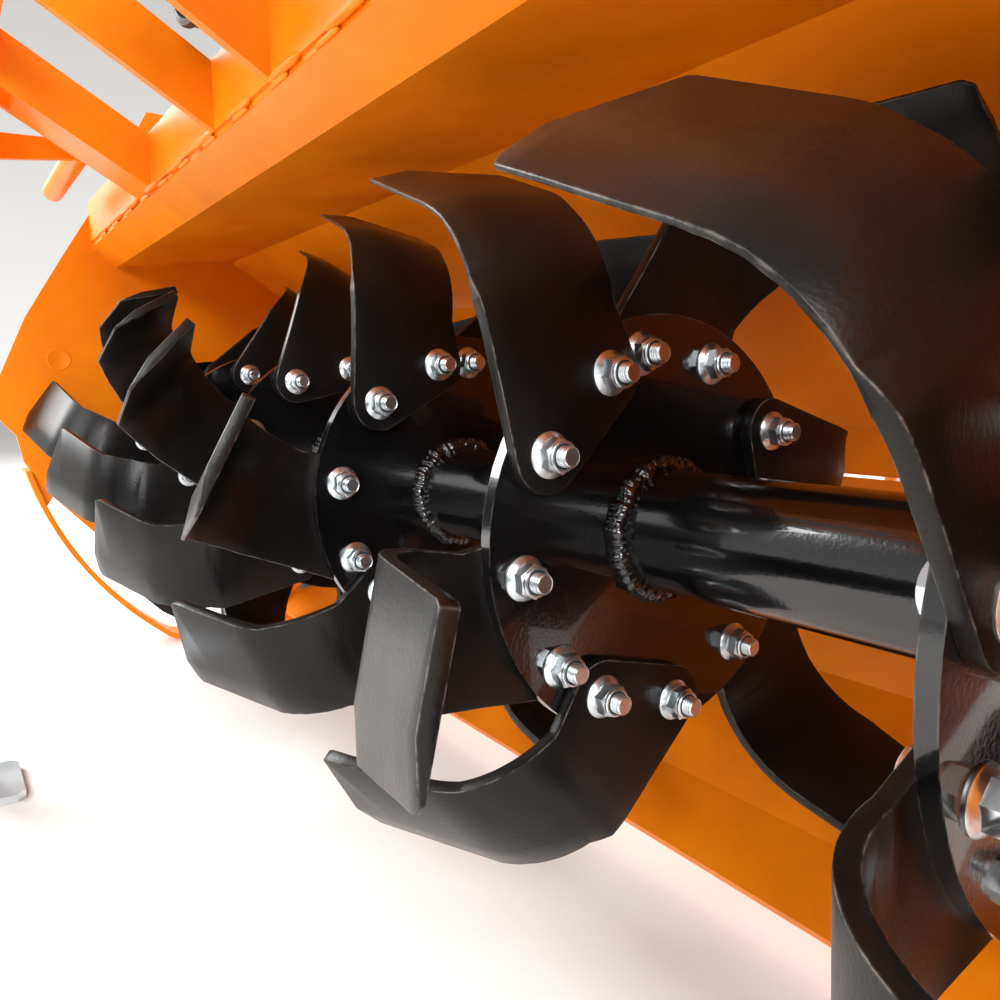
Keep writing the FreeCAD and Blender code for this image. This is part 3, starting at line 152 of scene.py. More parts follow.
def calculate(tree, operation, first, second):
    return step(tree, "ShaderNodeMath", {0: first, 1: second}, operation=operation).outputs[0]


print("node helpers ready")

# %% [markdown]
# Paint and steel wear first along their edges. On the tines the light edge colour is also a painted
# highlight, the thin bright line that their edges catch. The Bevel node gives a normal that is rounded
# near an edge, so where it differs from the true normal there is an edge, whatever the mesh.
# Breaking that band up with noise stops it from looking like a drawn outline. Pointiness would
# be cheaper, but it needs a dense mesh, and the CAD's flat plates have none.

# %% Edge wear and painted highlight group
edge_wear_and_highlight, wear_and_highlight_in, wear_and_highlight_out = new_group(
    "edge wear and highlight", [("Radius", 0.001), ("Breakup Scale", 60.0), ("Amount", 1.0)], ["Mask"]
)
rounded = step(edge_wear_and_highlight, "ShaderNodeBevel", {"Radius": wear_and_highlight_in.outputs["Radius"]}, samples=2)
true_normal = step(edge_wear_and_highlight, "ShaderNodeNewGeometry")
alike = step(
    edge_wear_and_highlight,
    "ShaderNodeVectorMath",
    {0: rounded.outputs["Normal"], 1: true_normal.outputs["Normal"]},
    operation="DOT_PRODUCT",
)
edge_band = step(
    edge_wear_and_highlight,
    "ShaderNodeMapRange",
    {"Value": alike.outputs["Value"], "From Min": 0.995, "From Max": 0.85},
)
broken = blotches(edge_wear_and_highlight, wear_and_highlight_in.outputs["Breakup Scale"], 3.0, 0.42, 0.6)
worn_and_highlight = calculate(edge_wear_and_highlight, "MULTIPLY", edge_band.outputs["Result"], broken)
amount = calculate(edge_wear_and_highlight, "MULTIPLY", worn_and_highlight, wear_and_highlight_in.outputs["Amount"])
edge_wear_and_highlight.links.new(amount, wear_and_highlight_out.inputs["Mask"])
print("group:", edge_wear_and_highlight.name)

# %% [markdown]
# Sprayed paint is never flat. It has a fine orange peel, and longer waves where it was laid on
# thick. The two are one height, so that every painted finish can ask for its own share of each.
# Both are noise with few octaves, because a bump works its height out three times a sample, and
# more octaves would cost render time that nobody sees.

# %% Paint skin group
paint_skin, skin_in, skin_out = new_group(
    "paint skin", [("Peel", 0.3), ("Waves", 0.5)], ["Height", "Tone"]
)
where = step(paint_skin, "ShaderNodeTexCoord").outputs["Object"]
peel = blotches(paint_skin, 420.0, 1.0, 0.3, 0.7, where)
waves = blotches(paint_skin, 28.0, 2.0, 0.3, 0.7, where)
fine = calculate(paint_skin, "MULTIPLY", peel, skin_in.outputs["Peel"])
coarse = calculate(paint_skin, "MULTIPLY", waves, skin_in.outputs["Waves"])
paint_skin.links.new(calculate(paint_skin, "ADD", fine, coarse), skin_out.inputs["Height"])
tone = blotches(paint_skin, 9.0, 3.0, 0.3, 0.7, where)
paint_skin.links.new(tone, skin_out.inputs["Tone"])
print("group:", paint_skin.name)

# %% [markdown]
# Dust settles on what faces up and keeps away from what faces down. The mask below is the
# upward part of the normal, broken up by noise. It goes into colour and roughness together,
# because dust hides gloss as well as colour.

# %% Dust group
dust, dust_in, dust_out = new_group("dust", [("Amount", 0.3), ("Scale", 14.0)], ["Mask"])
facing = step(dust, "ShaderNodeNewGeometry")
parts = step(dust, "ShaderNodeSeparateXYZ", {0: facing.outputs["Normal"]})
upward = step(dust, "ShaderNodeMapRange", {"Value": parts.outputs["Z"], "From Min": 0.2})
specks = blotches(dust, dust_in.outputs["Scale"], 4.0, 0.38, 0.72)
settled = calculate(dust, "MULTIPLY", upward.outputs["Result"], specks)
settled = calculate(dust, "MULTIPLY", settled, dust_in.outputs["Amount"])
dust.links.new(settled, dust_out.inputs["Mask"])
print("group:", dust.name)

# %% [markdown]
# A finish is one Principled shader with the groups placed round it. This helper holds what all
# of the machine's finishes share: two tones of the colour, worn edges that show another colour,
# dust, a roughness that varies, and a bump. On the tines that edge colour is partly wear and
# partly a painted highlight, the bright line their edges catch. What differs is a short row of
# values for each. Worn edges and dust are left out of a finish where they would hardly show,
# since both cost render time on every sample.

# %% Finish helper
DUST_COLOUR = (0.46, 0.42, 0.36, 1)


def use_group(tree, group, **values):
    """A shared group, placed in a material with its own values."""
    made = step(tree, "ShaderNodeGroup", node_tree=group)
    for name, value in values.items():
        made.inputs[name.replace("_", " ").title()].default_value = value
    return made.outputs


def new_finish(name, tones, skin, roughness, bump, worn_and_highlight=None, wear_and_highlight=None, dusty=None, **shader):
    """A material: tones and the worn edge colour are colours, the rest are shares from 0 to 1. On the tines that edge
    colour is partly a painted highlight.
    """
    material = bpy.data.materials.new(name)
    material.use_nodes = True
    tree = material.node_tree
    principled = tree.nodes["Principled BSDF"]
    for socket_name, value in shader.items():
        socket = socket_name.replace("_", " ").title().replace("Ior", "IOR")
        principled.inputs[socket].default_value = value
    surface = use_group(tree, paint_skin, **skin)
    colour = mix_colours(tree, surface["Tone"], tones[0], tones[1])
    varied = step(
        tree,
        "ShaderNodeMapRange",
        {"Value": surface["Tone"], "To Min": roughness[0], "To Max": roughness[1]},
    )
    rough = varied.outputs["Result"]
    # worn edges get their own colour; on the tines it is partly a painted highlight along the edges
    if wear_and_highlight:
        edges = use_group(tree, edge_wear_and_highlight, **wear_and_highlight)
        colour = mix_colours(tree, edges["Mask"], colour, worn_and_highlight)
        rough = calculate(tree, "ADD", rough, calculate(tree, "MULTIPLY", edges["Mask"], 0.25))
    if dusty:
        specks = use_group(tree, dust, **dusty)
        colour = mix_colours(tree, specks["Mask"], colour, DUST_COLOUR)
        rough = calculate(tree, "ADD", rough, specks["Mask"])
    tree.links.new(colour, principled.inputs["Base Color"])
    tree.links.new(rough, principled.inputs["Roughness"])
    relief = step(
        tree,
        "ShaderNodeBump",
        {"Height": surface["Height"], "Strength": bump, "Distance": 0.001},
    )
    tree.links.new(relief.outputs["Normal"], principled.inputs["Normal"])
    return material


print("finish helper ready")

# %% [markdown]
# The machine's colours. The orange is a bright gloss paint that turns burnt orange in shade.
# The rotor's black is wet gloss with runs. The tines have a thinner, browner satin coat, and
# their cut edges are almost bare. The light colour of the tines' worn edges and the lighter tone
# of their cut edges are partly bare steel and partly a painted highlight, the thin bright line
# those edges catch. The fasteners are zinc plated with a cold, slightly blue cast, and each nut
# has a nylon ring.

# %% Finishes
orange = new_finish(
    "orange_paint",
    tones=((0.93, 0.255, 0.004, 1), (0.80, 0.20, 0.003, 1)),
    skin={"peel": 0.10, "waves": 0.45},
    roughness=(0.30, 0.42),
    bump=0.12,
    specular_ior_level=0.18,
)
cast_orange = new_finish(
    "cast_orange_paint",
    tones=((0.90, 0.235, 0.004, 1), (0.72, 0.17, 0.003, 1)),
    skin={"peel": 0.9, "waves": 0.5},
    dusty={"amount": 0.16, "scale": 16.0},
    roughness=(0.34, 0.48),
    bump=0.45,
)
black_gloss = new_finish(
    "black_gloss_paint",
    tones=((0.002, 0.002, 0.0026, 1), (0.004, 0.004, 0.0045, 1)),
    worn_and_highlight=(0.16, 0.15, 0.13, 1),
    wear_and_highlight={"radius": 0.0012, "breakup_scale": 90.0, "amount": 0.8},
    skin={"peel": 0.15, "waves": 0.35},
    roughness=(0.12, 0.24),
    bump=0.25,
    coat_weight=0.6,
    coat_roughness=0.04,
)
tine_coat = new_finish(
    "tine_satin_paint",
    tones=((0.0035, 0.0032, 0.003, 1), (0.009, 0.0078, 0.007, 1)),
    # the worn edge colour is partly worn paint and partly a painted highlight, the bright line on the tines' edges
    worn_and_highlight=(0.34, 0.31, 0.28, 1),
    wear_and_highlight={"radius": 0.0012, "breakup_scale": 120.0, "amount": 0.9},
    skin={"peel": 0.35, "waves": 0.25},
    roughness=(0.26, 0.38),
    bump=0.16,
    specular_ior_level=0.24,
)
cut_edge = new_finish(
    "tine_cut_edge",
    # the lighter of the two tones is partly bare steel and partly a painted highlight along the tine's edge
    tones=((0.03, 0.026, 0.022, 1), (0.15, 0.135, 0.115, 1)),
    worn_and_highlight=(0.46, 0.42, 0.37, 1),
    wear_and_highlight={"radius": 0.0012, "breakup_scale": 140.0, "amount": 1.0},
    skin={"peel": 0.9, "waves": 0.4},
    roughness=(0.42, 0.6),
    bump=0.5,
)
machined = new_finish(
    "bare_steel",
    tones=((0.42, 0.42, 0.43, 1), (0.56, 0.56, 0.57, 1)),
    worn_and_highlight=(0.7, 0.7, 0.7, 1),
    wear_and_highlight={"radius": 0.0008, "breakup_scale": 90.0, "amount": 0.6},
    skin={"peel": 0.2, "waves": 0.1},
    dusty={"amount": 0.1, "scale": 26.0},
    roughness=(0.22, 0.36),
    bump=0.1,
    metallic=1.0,
)
zinc = new_finish(
    "zinc_plate",
    tones=((0.64, 0.71, 0.75, 1), (0.76, 0.82, 0.86, 1)),
    worn_and_highlight=(0.85, 0.86, 0.86, 1),
    wear_and_highlight={"radius": 0.0006, "breakup_scale": 160.0, "amount": 0.5},
    skin={"peel": 0.2, "waves": 0.2},
    roughness=(0.24, 0.38),
    bump=0.12,
    metallic=1.0,
)
nylon = new_finish(
    "nylon_ring",
    tones=((0.004, 0.03, 0.045, 1), (0.006, 0.045, 0.06, 1)),
    skin={"peel": 0.2, "waves": 0.0},
    roughness=(0.3, 0.4),
    bump=0.05,
)
guard_plastic = new_finish(
    "guard_plastic",
    tones=((0.010, 0.010, 0.011, 1), (0.018, 0.018, 0.019, 1)),
    worn_and_highlight=(0.07, 0.07, 0.07, 1),
    wear_and_highlight={"radius": 0.0015, "breakup_scale": 60.0, "amount": 0.5},
    skin={"peel": 0.9, "waves": 0.1},
    dusty={"amount": 0.14, "scale": 20.0},
    roughness=(0.42, 0.55),
    bump=0.3,
)
print("finishes:", len([m for m in bpy.data.materials if m.use_nodes]))

# %% Finishes for the CAD's own nodes
SLOT_FINISH = {
    "orange_paint": orange,
    "gearbox_paint": cast_orange,
    "rotor_paint": black_gloss,
    "tine_paint": tine_coat,
    "bare_steel": machined,
    "zinc": zinc,
    "guard_plastic": guard_plastic,
}
slot_of_node = {row["node"]: row["material_slot"] for row in frame["record"]["subparts"]}
for node_name, node_object in nodes.items():
    for material_slot in node_object.material_slots:
        material_slot.material = SLOT_FINISH[slot_of_node[node_name]]
print("CAD nodes with a finish:", len(slot_of_node))

# %% [markdown]
# The room is a pale floor and a bright, soft sky, as in an open yard on a hazy day. The floor
# matters most here, because the hood's inside is lit only from below: light falls on the pale
# ground in front of the machine and comes back up under the hood. The sky is brightest near the
# horizon, as haze is. Large area lights give the long soft reflections on the rotor's tube,
# where small lamps would give hard dots. The view transform is the plain one, because the
# default one greys bright colours, and this orange paint would turn to pastel under it.

# %% Floor
bpy.ops.mesh.primitive_plane_add(size=40, location=(0, 0, -0.0005))
floor = bpy.context.object
floor.name = "floor"
floor_paint = bpy.data.materials.new("pale_floor")
floor_paint.use_nodes = True
floor_tree = floor_paint.node_tree
floor_tone = blotches(floor_tree, 3.0, 6.0, 0.3, 0.7)
floor_tree.links.new(
    mix_colours(floor_tree, floor_tone, (0.80, 0.79, 0.77, 1), (0.86, 0.85, 0.83, 1)),
    floor_tree.nodes["Principled BSDF"].inputs["Base Color"],
)
floor_tree.nodes["Principled BSDF"].inputs["Roughness"].default_value = 0.7
floor.data.materials.append(floor_paint)
print("floor:", tuple(floor.dimensions))

# %% Light
bpy.context.scene.view_settings.view_transform = "Standard"
world = bpy.data.worlds.new("hazy_sky")
bpy.context.scene.world = world
world.use_nodes = True
world_tree = world.node_tree
world_tree.nodes["Background"].inputs["Color"].default_value = (1.0, 0.985, 0.96, 1)
towards = step(world_tree, "ShaderNodeTexCoord").outputs["Generated"]
up = step(world_tree, "ShaderNodeSeparateXYZ", {0: towards}).outputs["Z"]
haze = step(
    world_tree,
    "ShaderNodeMapRange",
    {"Value": up, "From Min": 0.05, "From Max": 0.6, "To Min": 0.95, "To Max": 0.42},
)
world_tree.links.new(haze.outputs["Result"], world_tree.nodes["Background"].inputs["Strength"])

# place and target in metres in the frame, size in metres, power in watts
LIGHTS = [
    ("yard_light", (0.6, -4.2, 3.4), (0, 0, 0.4), 3.0, 150),
    ("window_light", (2.6, -1.6, 1.6), (0, 0, 0.4), 1.2, 75),
    ("far_light", (-3.4, -2.2, 2.6), (0, 0, 0.4), 2.4, 290),
    ("back_light", (-0.5, 4.0, 3.4), (0, 0, 0.4), 3.0, 235),
]
for light_name, light_place, target, size, power in LIGHTS:
    light_data = bpy.data.lights.new(light_name, "AREA")
    light_data.shape = "SQUARE"
    light_data.size = size
    light_data.energy = power
    light = bpy.data.objects.new(light_name, light_data)
    light.location = light_place
    aim = Vector(target) - Vector(light_place)
    light.rotation_euler = aim.to_track_quat("-Z", "Y").to_euler()
    bpy.context.scene.collection.objects.link(light)
print("lights:", len(LIGHTS))

# %% [markdown]
# Every new piece ends the same way: its place goes into its mesh, its faces point outwards,
# it gets its finish, and it rides on the body that carries it. Pieces that repeat are modelled
# once and copied, each copy with its own mesh, and the copies on one flange are joined.

# %% Helpers for pieces


def deselect():
    bpy.ops.object.select_all(action="DESELECT")


def only(piece):
    """Makes one object the selected and active one."""
    deselect()
    piece.select_set(True)
    bpy.context.view_layer.objects.active = piece


def apply_place(piece):
    """Moves the object's place and turn into its mesh."""
    piece.data.transform(piece.matrix_world)
    piece.matrix_world = Matrix.Identity(4)


def apply_modifier(piece, kind, **options):
    only(piece)
    made = piece.modifiers.new(kind.lower(), kind)
    for name, value in options.items():
        setattr(made, name, value)
    bpy.ops.object.modifier_apply(modifier=made.name)


def outwards(piece):
    """Merges doubles and points every face outwards."""
    only(piece)
    bpy.ops.object.mode_set(mode="EDIT")
    bpy.ops.mesh.select_all(action="SELECT")
    bpy.ops.mesh.remove_doubles(threshold=1e-6)
    bpy.ops.mesh.normals_make_consistent(inside=False)
    bpy.ops.object.mode_set(mode="OBJECT")


def join_pieces(pieces, name):
    deselect()
    for piece in pieces:
        piece.select_set(True)
    bpy.context.view_layer.objects.active = pieces[0]
    bpy.ops.object.join()
    joined = bpy.context.object
    joined.name = name
    return joined


def copies_of(piece, matrices, name):
    """One object made of many copies of a piece, each in its own place."""
    twins = []
    for matrix in matrices:
        twin = bpy.data.objects.new(name, piece.data.copy())
        twin.data.transform(matrix)
        if matrix.determinant() < 0:
            twin.data.flip_normals()
        bpy.context.scene.collection.objects.link(twin)
        twins.append(twin)
    return join_pieces(twins, name)


def dress(piece, name, body, slot_name, *finishes):
    """Names a finished piece, gives it its finish and sets it on its body."""
    piece.name = name
    piece.data.name = name
    if finishes:
        piece.data.materials.clear()
        for finish in finishes:
            piece.data.materials.append(finish)
    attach(piece, body)
    print(name, "faces:", len(piece.data.polygons))
    return piece


def select_faces(piece, test):
    """In edit mode, selects the faces whose middle and normal pass a test."""
    bpy.ops.mesh.select_mode(type="FACE")
    mesh = bmesh.from_edit_mesh(piece.data)
    for face in mesh.faces:
        face.select_set(test(face.calc_center_median(), face.normal))
    mesh.select_flush_mode()
    bmesh.update_edit_mesh(piece.data)


# %% [markdown]
# A tine is a flat bar, bolted to its flange by two bolts and bent across, so that its foot
# slices along the rotor. As in the forge, it is cut flat first, its leading edge is drawn out
# thin, and it is bent last. A circle primitive is filled as one flat face and its corners are
# moved to the outline: two round lobes, the shank and the foot. Bisect then scores the flat
# face along the lines where the bend will fold it, and once more along the edge of the
# sharpened band. Bending moves each scored point round the bend's axis. Spinning the outer edge
# would also make a bend, but only a square one, and the real bend line runs a little aslant.
# Tines for a flange's left face and its right face come from two dies, so each has its own edges.

# %% The tine's sizes, in millimetres
FLANGE_THICK = 8
TINE_THICK = 8
BOLT_CIRCLE = 110
BOLT_HALF_ANGLE = 16.4
TINE_SLOPE = 44
LOBE_RADIUS = 22
SCORE_LINES = 17
SHARP_BAND = 27
SHARP_EDGE = 2.6
SHARP_FROM = 136
EDGE_WAVE = 0.7
# corners are (along the bar, across it) from the rotor's axis, on the flat bar
LEFT_DIE = {
    "leading": [(95, -127), (136, -136.5), (215, -137), (318, -128.5), (324, -122)],
    "trailing": [(305, -40), (300, -38.5), (200, -51), (136, -46.5)],
    "bend_start": (123, -90),
    "slant": 5.6,
    "angle": 71.5,
    "radius": 80,
}
RIGHT_DIE = {
    "leading": [(95, -127), (136, -137), (215, -150.5), (309, -143.5), (314, -139)],
    "trailing": [(325, -72), (321, -69.5), (200, -53.5), (136, -46.5)],
    "bend_start": (128, -90),
    "slant": 6.8,
    "angle": 74.5,
    "radius": 76.5,
}


def bolt_spot(turn):
    """A bolt's place (along the bar, across it) from the rotor's axis."""
    angle = math.radians(TINE_SLOPE + turn)
    return BOLT_CIRCLE * math.cos(angle), -BOLT_CIRCLE * math.sin(angle)


def lobe(turn, start, end, count):
    """Corners round a bolt, from one angle to another."""
    middle = bolt_spot(turn)
    corners = []
    for index in range(count + 1):
        angle = math.radians(start + (end - start) * index / count)
        corners.append(
            (middle[0] + LOBE_RADIUS * math.cos(angle), middle[1] + LOBE_RADIUS * math.sin(angle))
        )
    return corners


print("bolts of a tine:", bolt_spot(BOLT_HALF_ANGLE), bolt_spot(-BOLT_HALF_ANGLE))

# %% A tine, cut flat and scored


def score(spot, heading):
    """Cuts the flat face along a line through a spot, square to a heading."""
    bpy.ops.mesh.select_all(action="SELECT")
    bpy.ops.mesh.bisect(
        plane_co=(0, -spot[0] * MM, spot[1] * MM), plane_no=(0, -heading[0], heading[1])
    )


def bend_heading(die):
    """The way the bar runs into its bend."""
    slant = math.radians(die["slant"])
    return Vector((math.cos(slant), -math.sin(slant)))


def flat_tine(die):
    outline = [
        *lobe(BOLT_HALF_ANGLE, 136, 260, 10),
        *die["leading"],
        *die["trailing"],
        *lobe(-BOLT_HALF_ANGLE, 53, 136, 8),
    ]
    bpy.ops.mesh.primitive_circle_add(vertices=len(outline), radius=0.1, fill_type="NGON")
    bar = bpy.context.object
    for vertex, (along, across) in zip(bar.data.vertices, outline):
        vertex.co = (0, -along * MM, across * MM)
    heading = bend_heading(die)
    bend_long = die["radius"] * math.radians(die["angle"])
    band_start, band_end = Vector(die["leading"][2]), Vector(die["leading"][3])
    band_heading = (band_end - band_start).normalized()
    inwards = Vector((-band_heading[1], band_heading[0]))
    bpy.ops.object.mode_set(mode="EDIT")
    for index in range(SCORE_LINES):
        score(Vector(die["bend_start"]) + heading * bend_long * index / (SCORE_LINES - 1), heading)
    for along in (SHARP_FROM, SHARP_FROM + 14, 240, 262, 284, 306):
        score((along, 0), (1, 0))
    score(band_start + inwards * SHARP_BAND, inwards)
    bpy.ops.object.mode_set(mode="OBJECT")
    return bar


print("helpers for a flat tine ready")

# %% The leading edge drawn out, and the bar bent


def leading_across(die, along):
    """How far across the leading edge is, at a distance along the flat bar."""
    for (start, low), (end, high) in zip(die["leading"], die["leading"][1:]):
        if along <= end:
            break
    return low + (high - low) * (along - start) / (end - start)


def draw_out(bar, die):
    """Thins the leading edge, as a share of the bar's thickness, and makes it a little wavy."""
    thickness = bar.vertex_groups.new(name="thickness")
    for vertex in bar.data.vertices:
        along, across = -vertex.co.y / MM, vertex.co.z / MM
        sharp = 0
        if across < leading_across(die, along) + 3:
            sharp = min(1, max(0, (along - SHARP_FROM) / 14))
            vertex.co.z += noise.noise(Vector((along / 9, 0, 0))) * EDGE_WAVE * sharp * MM
        thickness.add([vertex.index], 1 - sharp * (1 - SHARP_EDGE / TINE_THICK), "REPLACE")


def bend(bar, die):
    """Wraps the bar round the bend's axis, from where the bend starts."""
    start, heading = Vector(die["bend_start"]), bend_heading(die)
    inner_radius = die["radius"] - TINE_THICK / 2
    for vertex in bar.data.vertices:
        flat = Vector((-vertex.co.y / MM, vertex.co.z / MM)) - start
        ahead = flat.dot(heading)
        aside = flat - heading * ahead
        bent = min(math.radians(die["angle"]), max(0, ahead / die["radius"]))
        beyond = ahead - die["radius"] * bent
        forward = inner_radius * math.sin(bent) + beyond * math.cos(bent)
        inwards = inner_radius * (1 - math.cos(bent)) + beyond * math.sin(bent)
        spot = start + aside + heading * forward
        vertex.co = Vector((FLANGE_THICK / 2 - inwards, -spot[0], spot[1])) * MM


def forged_tine(die, name):
    """A tine for a flange's left face, or a right face's one before it is mirrored."""
    bar = flat_tine(die)
    bar.name = name
    draw_out(bar, die)
    bend(bar, die)
    only(bar)
    bpy.ops.object.mode_set(mode="EDIT")
    bpy.ops.mesh.select_all(action="SELECT")
    bpy.ops.mesh.normals_make_consistent(inside=False)
    bpy.ops.object.mode_set(mode="OBJECT")
    if bar.data.polygons[0].normal.x < 0:
        bar.data.flip_normals()
    apply_modifier(
        bar,
        "SOLIDIFY",
        thickness=TINE_THICK * MM,
        offset=1,
        use_even_offset=True,
        vertex_group="thickness",
        material_offset_rim=1,
    )
    bar.data.materials.append(tine_coat)
    bar.data.materials.append(cut_edge)
    outwards(bar)
    apply_modifier(
        bar, "BEVEL", width=0.0007, segments=2, limit_method="ANGLE", angle_limit=math.radians(40)
    )
    only(bar)
    bpy.ops.object.shade_smooth_by_angle(angle=math.radians(38))
    print(name, "faces:", len(bar.data.polygons), "box:", [round(v, 4) for v in bar.dimensions])
    return bar


left_tine = forged_tine(LEFT_DIE, "left_tine")
right_tine = forged_tine(RIGHT_DIE, "right_tine")

# %% [markdown]
# Six tines sit on each flange: three on its left face, bent to the right, and three on its
# right face, bent to the left. The flange's set is turned on a little from one flange to the
# next, so that the rotor never strikes the ground with all its tines at once. The right-hand
# tine is mirrored, which turns its faces inside out, so the copy helper flips them back. The
# tine nearest the camera leans a few degrees more than the others from its two bolts.

# %% Six sets of tines
FLANGE_PITCH = 240
FLANGE_COUNT = 6
FIRST_TINE = 27.6
TINE_STEP = 16.4
FAR_SET_TURN = 50.4
NEAREST_LEAN = 4.6
MIRROR_X = Matrix.Scale(-1, 4, (1, 0, 0))


def flange_place(index):
    """The middle of a flange, from the left end's one on."""
    return TO_FRAME @ Vector(((FLANGE_COUNT - 1 - 2 * index) * FLANGE_PITCH / 2, 0, 0))


def tine_turns(index, set_turn):
    """The turns about the rotor of the three tines on one face of a flange."""
    first = FIRST_TINE + index * TINE_STEP + set_turn + TINE_SLOPE
    return [turn_about("X", -(first + 120 * third)) for third in range(3)]


def lean(degrees):
    """A lean of a tine about the middle of its two bolts."""
    first, second = bolt_spot(BOLT_HALF_ANGLE), bolt_spot(-BOLT_HALF_ANGLE)
    middle = Vector((0, -(first[0] + second[0]) / 2, (first[1] + second[1]) / 2)) * MM
    return Matrix.Translation(middle) @ turn_about("X", degrees) @ Matrix.Translation(-middle)


for index in range(FLANGE_COUNT):
    middle = Matrix.Translation(flange_place(index))
    left_places = [middle @ turn for turn in tine_turns(index, 0)]
    right_places = [middle @ turn @ MIRROR_X for turn in tine_turns(index, FAR_SET_TURN)]
    if index == 0:
        left_places[0] = left_places[0] @ lean(NEAREST_LEAN)
    tine_set = join_pieces(
        [copies_of(left_tine, left_places, "left"), copies_of(right_tine, right_places, "right")],
        f"bent_tines_{index + 1}",
    )
    dress(tine_set, f"bent_tines_{index + 1}", "rotor", "tine_paint")
    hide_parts(f"tines_{index + 1}")
    print("own box", [[round(v, 3) for v in tine_set.bound_box[end]] for end in (0, 6)])
bpy.data.objects.remove(left_tine)
bpy.data.objects.remove(right_tine)

# %% [markdown]
# The tines are held by M12 bolts with flanged lock nuts. Each nut shows a wide round flange, a
# hexagon with chamfered corners, a collar that is rolled over a nylon ring, and the end of the
# bolt standing out of it. The hexagon is a six-sided cylinder whose outer edges are bevelled.
# The flange, the collar and the threaded end are round, so each is drawn as a profile and spun
# about the bolt's axis. That gives the thread's ridges in real shape for very few faces.

# %% A helper that spins a profile


def spun(profile, steps, name):
    """A closed profile of (along X, radius) in millimetres, spun round the X axis."""
    bpy.ops.mesh.primitive_circle_add(vertices=len(profile), radius=0.01, fill_type="NOTHING")
    piece = bpy.context.object
    piece.name = name
    for vertex, (along, radius) in zip(piece.data.vertices, profile):
        vertex.co = (along * MM, radius * MM, 0)
    bpy.ops.object.mode_set(mode="EDIT")
    bpy.ops.mesh.select_all(action="SELECT")
    bpy.ops.mesh.spin(steps=steps, angle=2 * math.pi, center=(0, 0, 0), axis=(1, 0, 0))
    bpy.ops.mesh.select_all(action="SELECT")
    bpy.ops.mesh.remove_doubles(threshold=1e-7)
    bpy.ops.mesh.delete_loose()
    bpy.ops.mesh.normals_make_consistent(inside=False)
    bpy.ops.object.mode_set(mode="OBJECT")
    return piece


print("profile helper ready")

# %% [markdown]
# A real nut's hexagon is chamfered by a cone, which leaves an arc on each flat. Intersecting a
# six-sided cylinder with a spun cone gives those arcs exactly, and it is done once for the nut
# and once for the screw heads. Bevelling the rim would cut the flats too.

# %% A helper for chamfered hexagons


def hexagon(low, high, across_flats, chamfer_at_low=False):
    """A hexagon along X, chamfered by a cone at its outer end, in millimetres."""
    corner_radius = across_flats / math.sqrt(3)
    bpy.ops.mesh.primitive_cylinder_add(
        vertices=6,
        radius=corner_radius * MM,
        depth=(high - low) * MM,
        location=((low + high) / 2 * MM, 0, 0),
        rotation=(0, math.pi / 2, 0),
    )
    prism = bpy.context.object
    apply_place(prism)
    flat = across_flats / 2
    rim = (corner_radius - flat) * 0.6
    profile = [(low - 1, 0), (low - 1, flat * 1.3), (high - rim, corner_radius), (high, flat * 0.98), (high, 0)]
    if chamfer_at_low:
        profile = [(low + high - along, radius) for along, radius in profile]
    cone = spun(profile, 36, "cone")
    apply_modifier(prism, "BOOLEAN", operation="INTERSECT", object=cone, solver="EXACT")
    bpy.data.objects.remove(cone)
    return prism


print("hexagon helper ready")

# %% The lock nut and bolt of a tine
GRIP = FLANGE_THICK + TINE_THICK
NUT_HIGH = 10.4
BOLT_TIP = 35 - GRIP
THREAD_PITCH = 1.75
nut_flange = spun([(0, 0), (0, 13), (0.9, 13.1), (1.7, 12.5), (3.6, 9.8), (3.6, 0)], 40, "nut_flange")
nut_hexagon = hexagon(2.4, NUT_HIGH, 18)
collar = spun(
    [(9.5, 7.0), (9.5, 8.7), (12.2, 8.7), (12.9, 8.2), (13.1, 7.5), (12.7, 7.0)], 32, "nut_collar"
)
ring = spun([(9.6, 5.7), (9.6, 7.1), (12.3, 7.1), (12.7, 6.6), (12.4, 5.7)], 32, "nylon_ring")
thread = [(9.0, 0), (9.0, 5.4)]
along = 10.0
while along < BOLT_TIP - 1.6:
    thread += [(along, 5.4), (along + THREAD_PITCH * 0.35, 5.95), (along + THREAD_PITCH * 0.6, 5.95)]
    along += THREAD_PITCH
thread += [(BOLT_TIP - 1.2, 5.5), (BOLT_TIP, 4.7), (BOLT_TIP, 4.2), (BOLT_TIP - 0.3, 0)]
bolt_end = spun(thread, 24, "bolt_end")
head_flange = spun(
    [(-GRIP, 0), (-GRIP, 12.4), (-GRIP - 1.2, 12.2), (-GRIP - 2.6, 9.9), (-GRIP - 2.6, 0)],
    32,
    "head_flange",
)
head = hexagon(-GRIP - 9.5, -GRIP - 2, 18, chamfer_at_low=True)
for metal_piece in (nut_flange, nut_hexagon, collar, bolt_end, head_flange, head):
    metal_piece.data.materials.append(zinc)
ring.data.materials.append(nylon)
tine_bolt = join_pieces(
    [nut_flange, nut_hexagon, collar, bolt_end, head_flange, head, ring], "tine_bolt"
)
only(tine_bolt)
bpy.ops.object.shade_smooth_by_angle(angle=math.radians(28))
print("tine bolt faces:", len(tine_bolt.data.polygons))

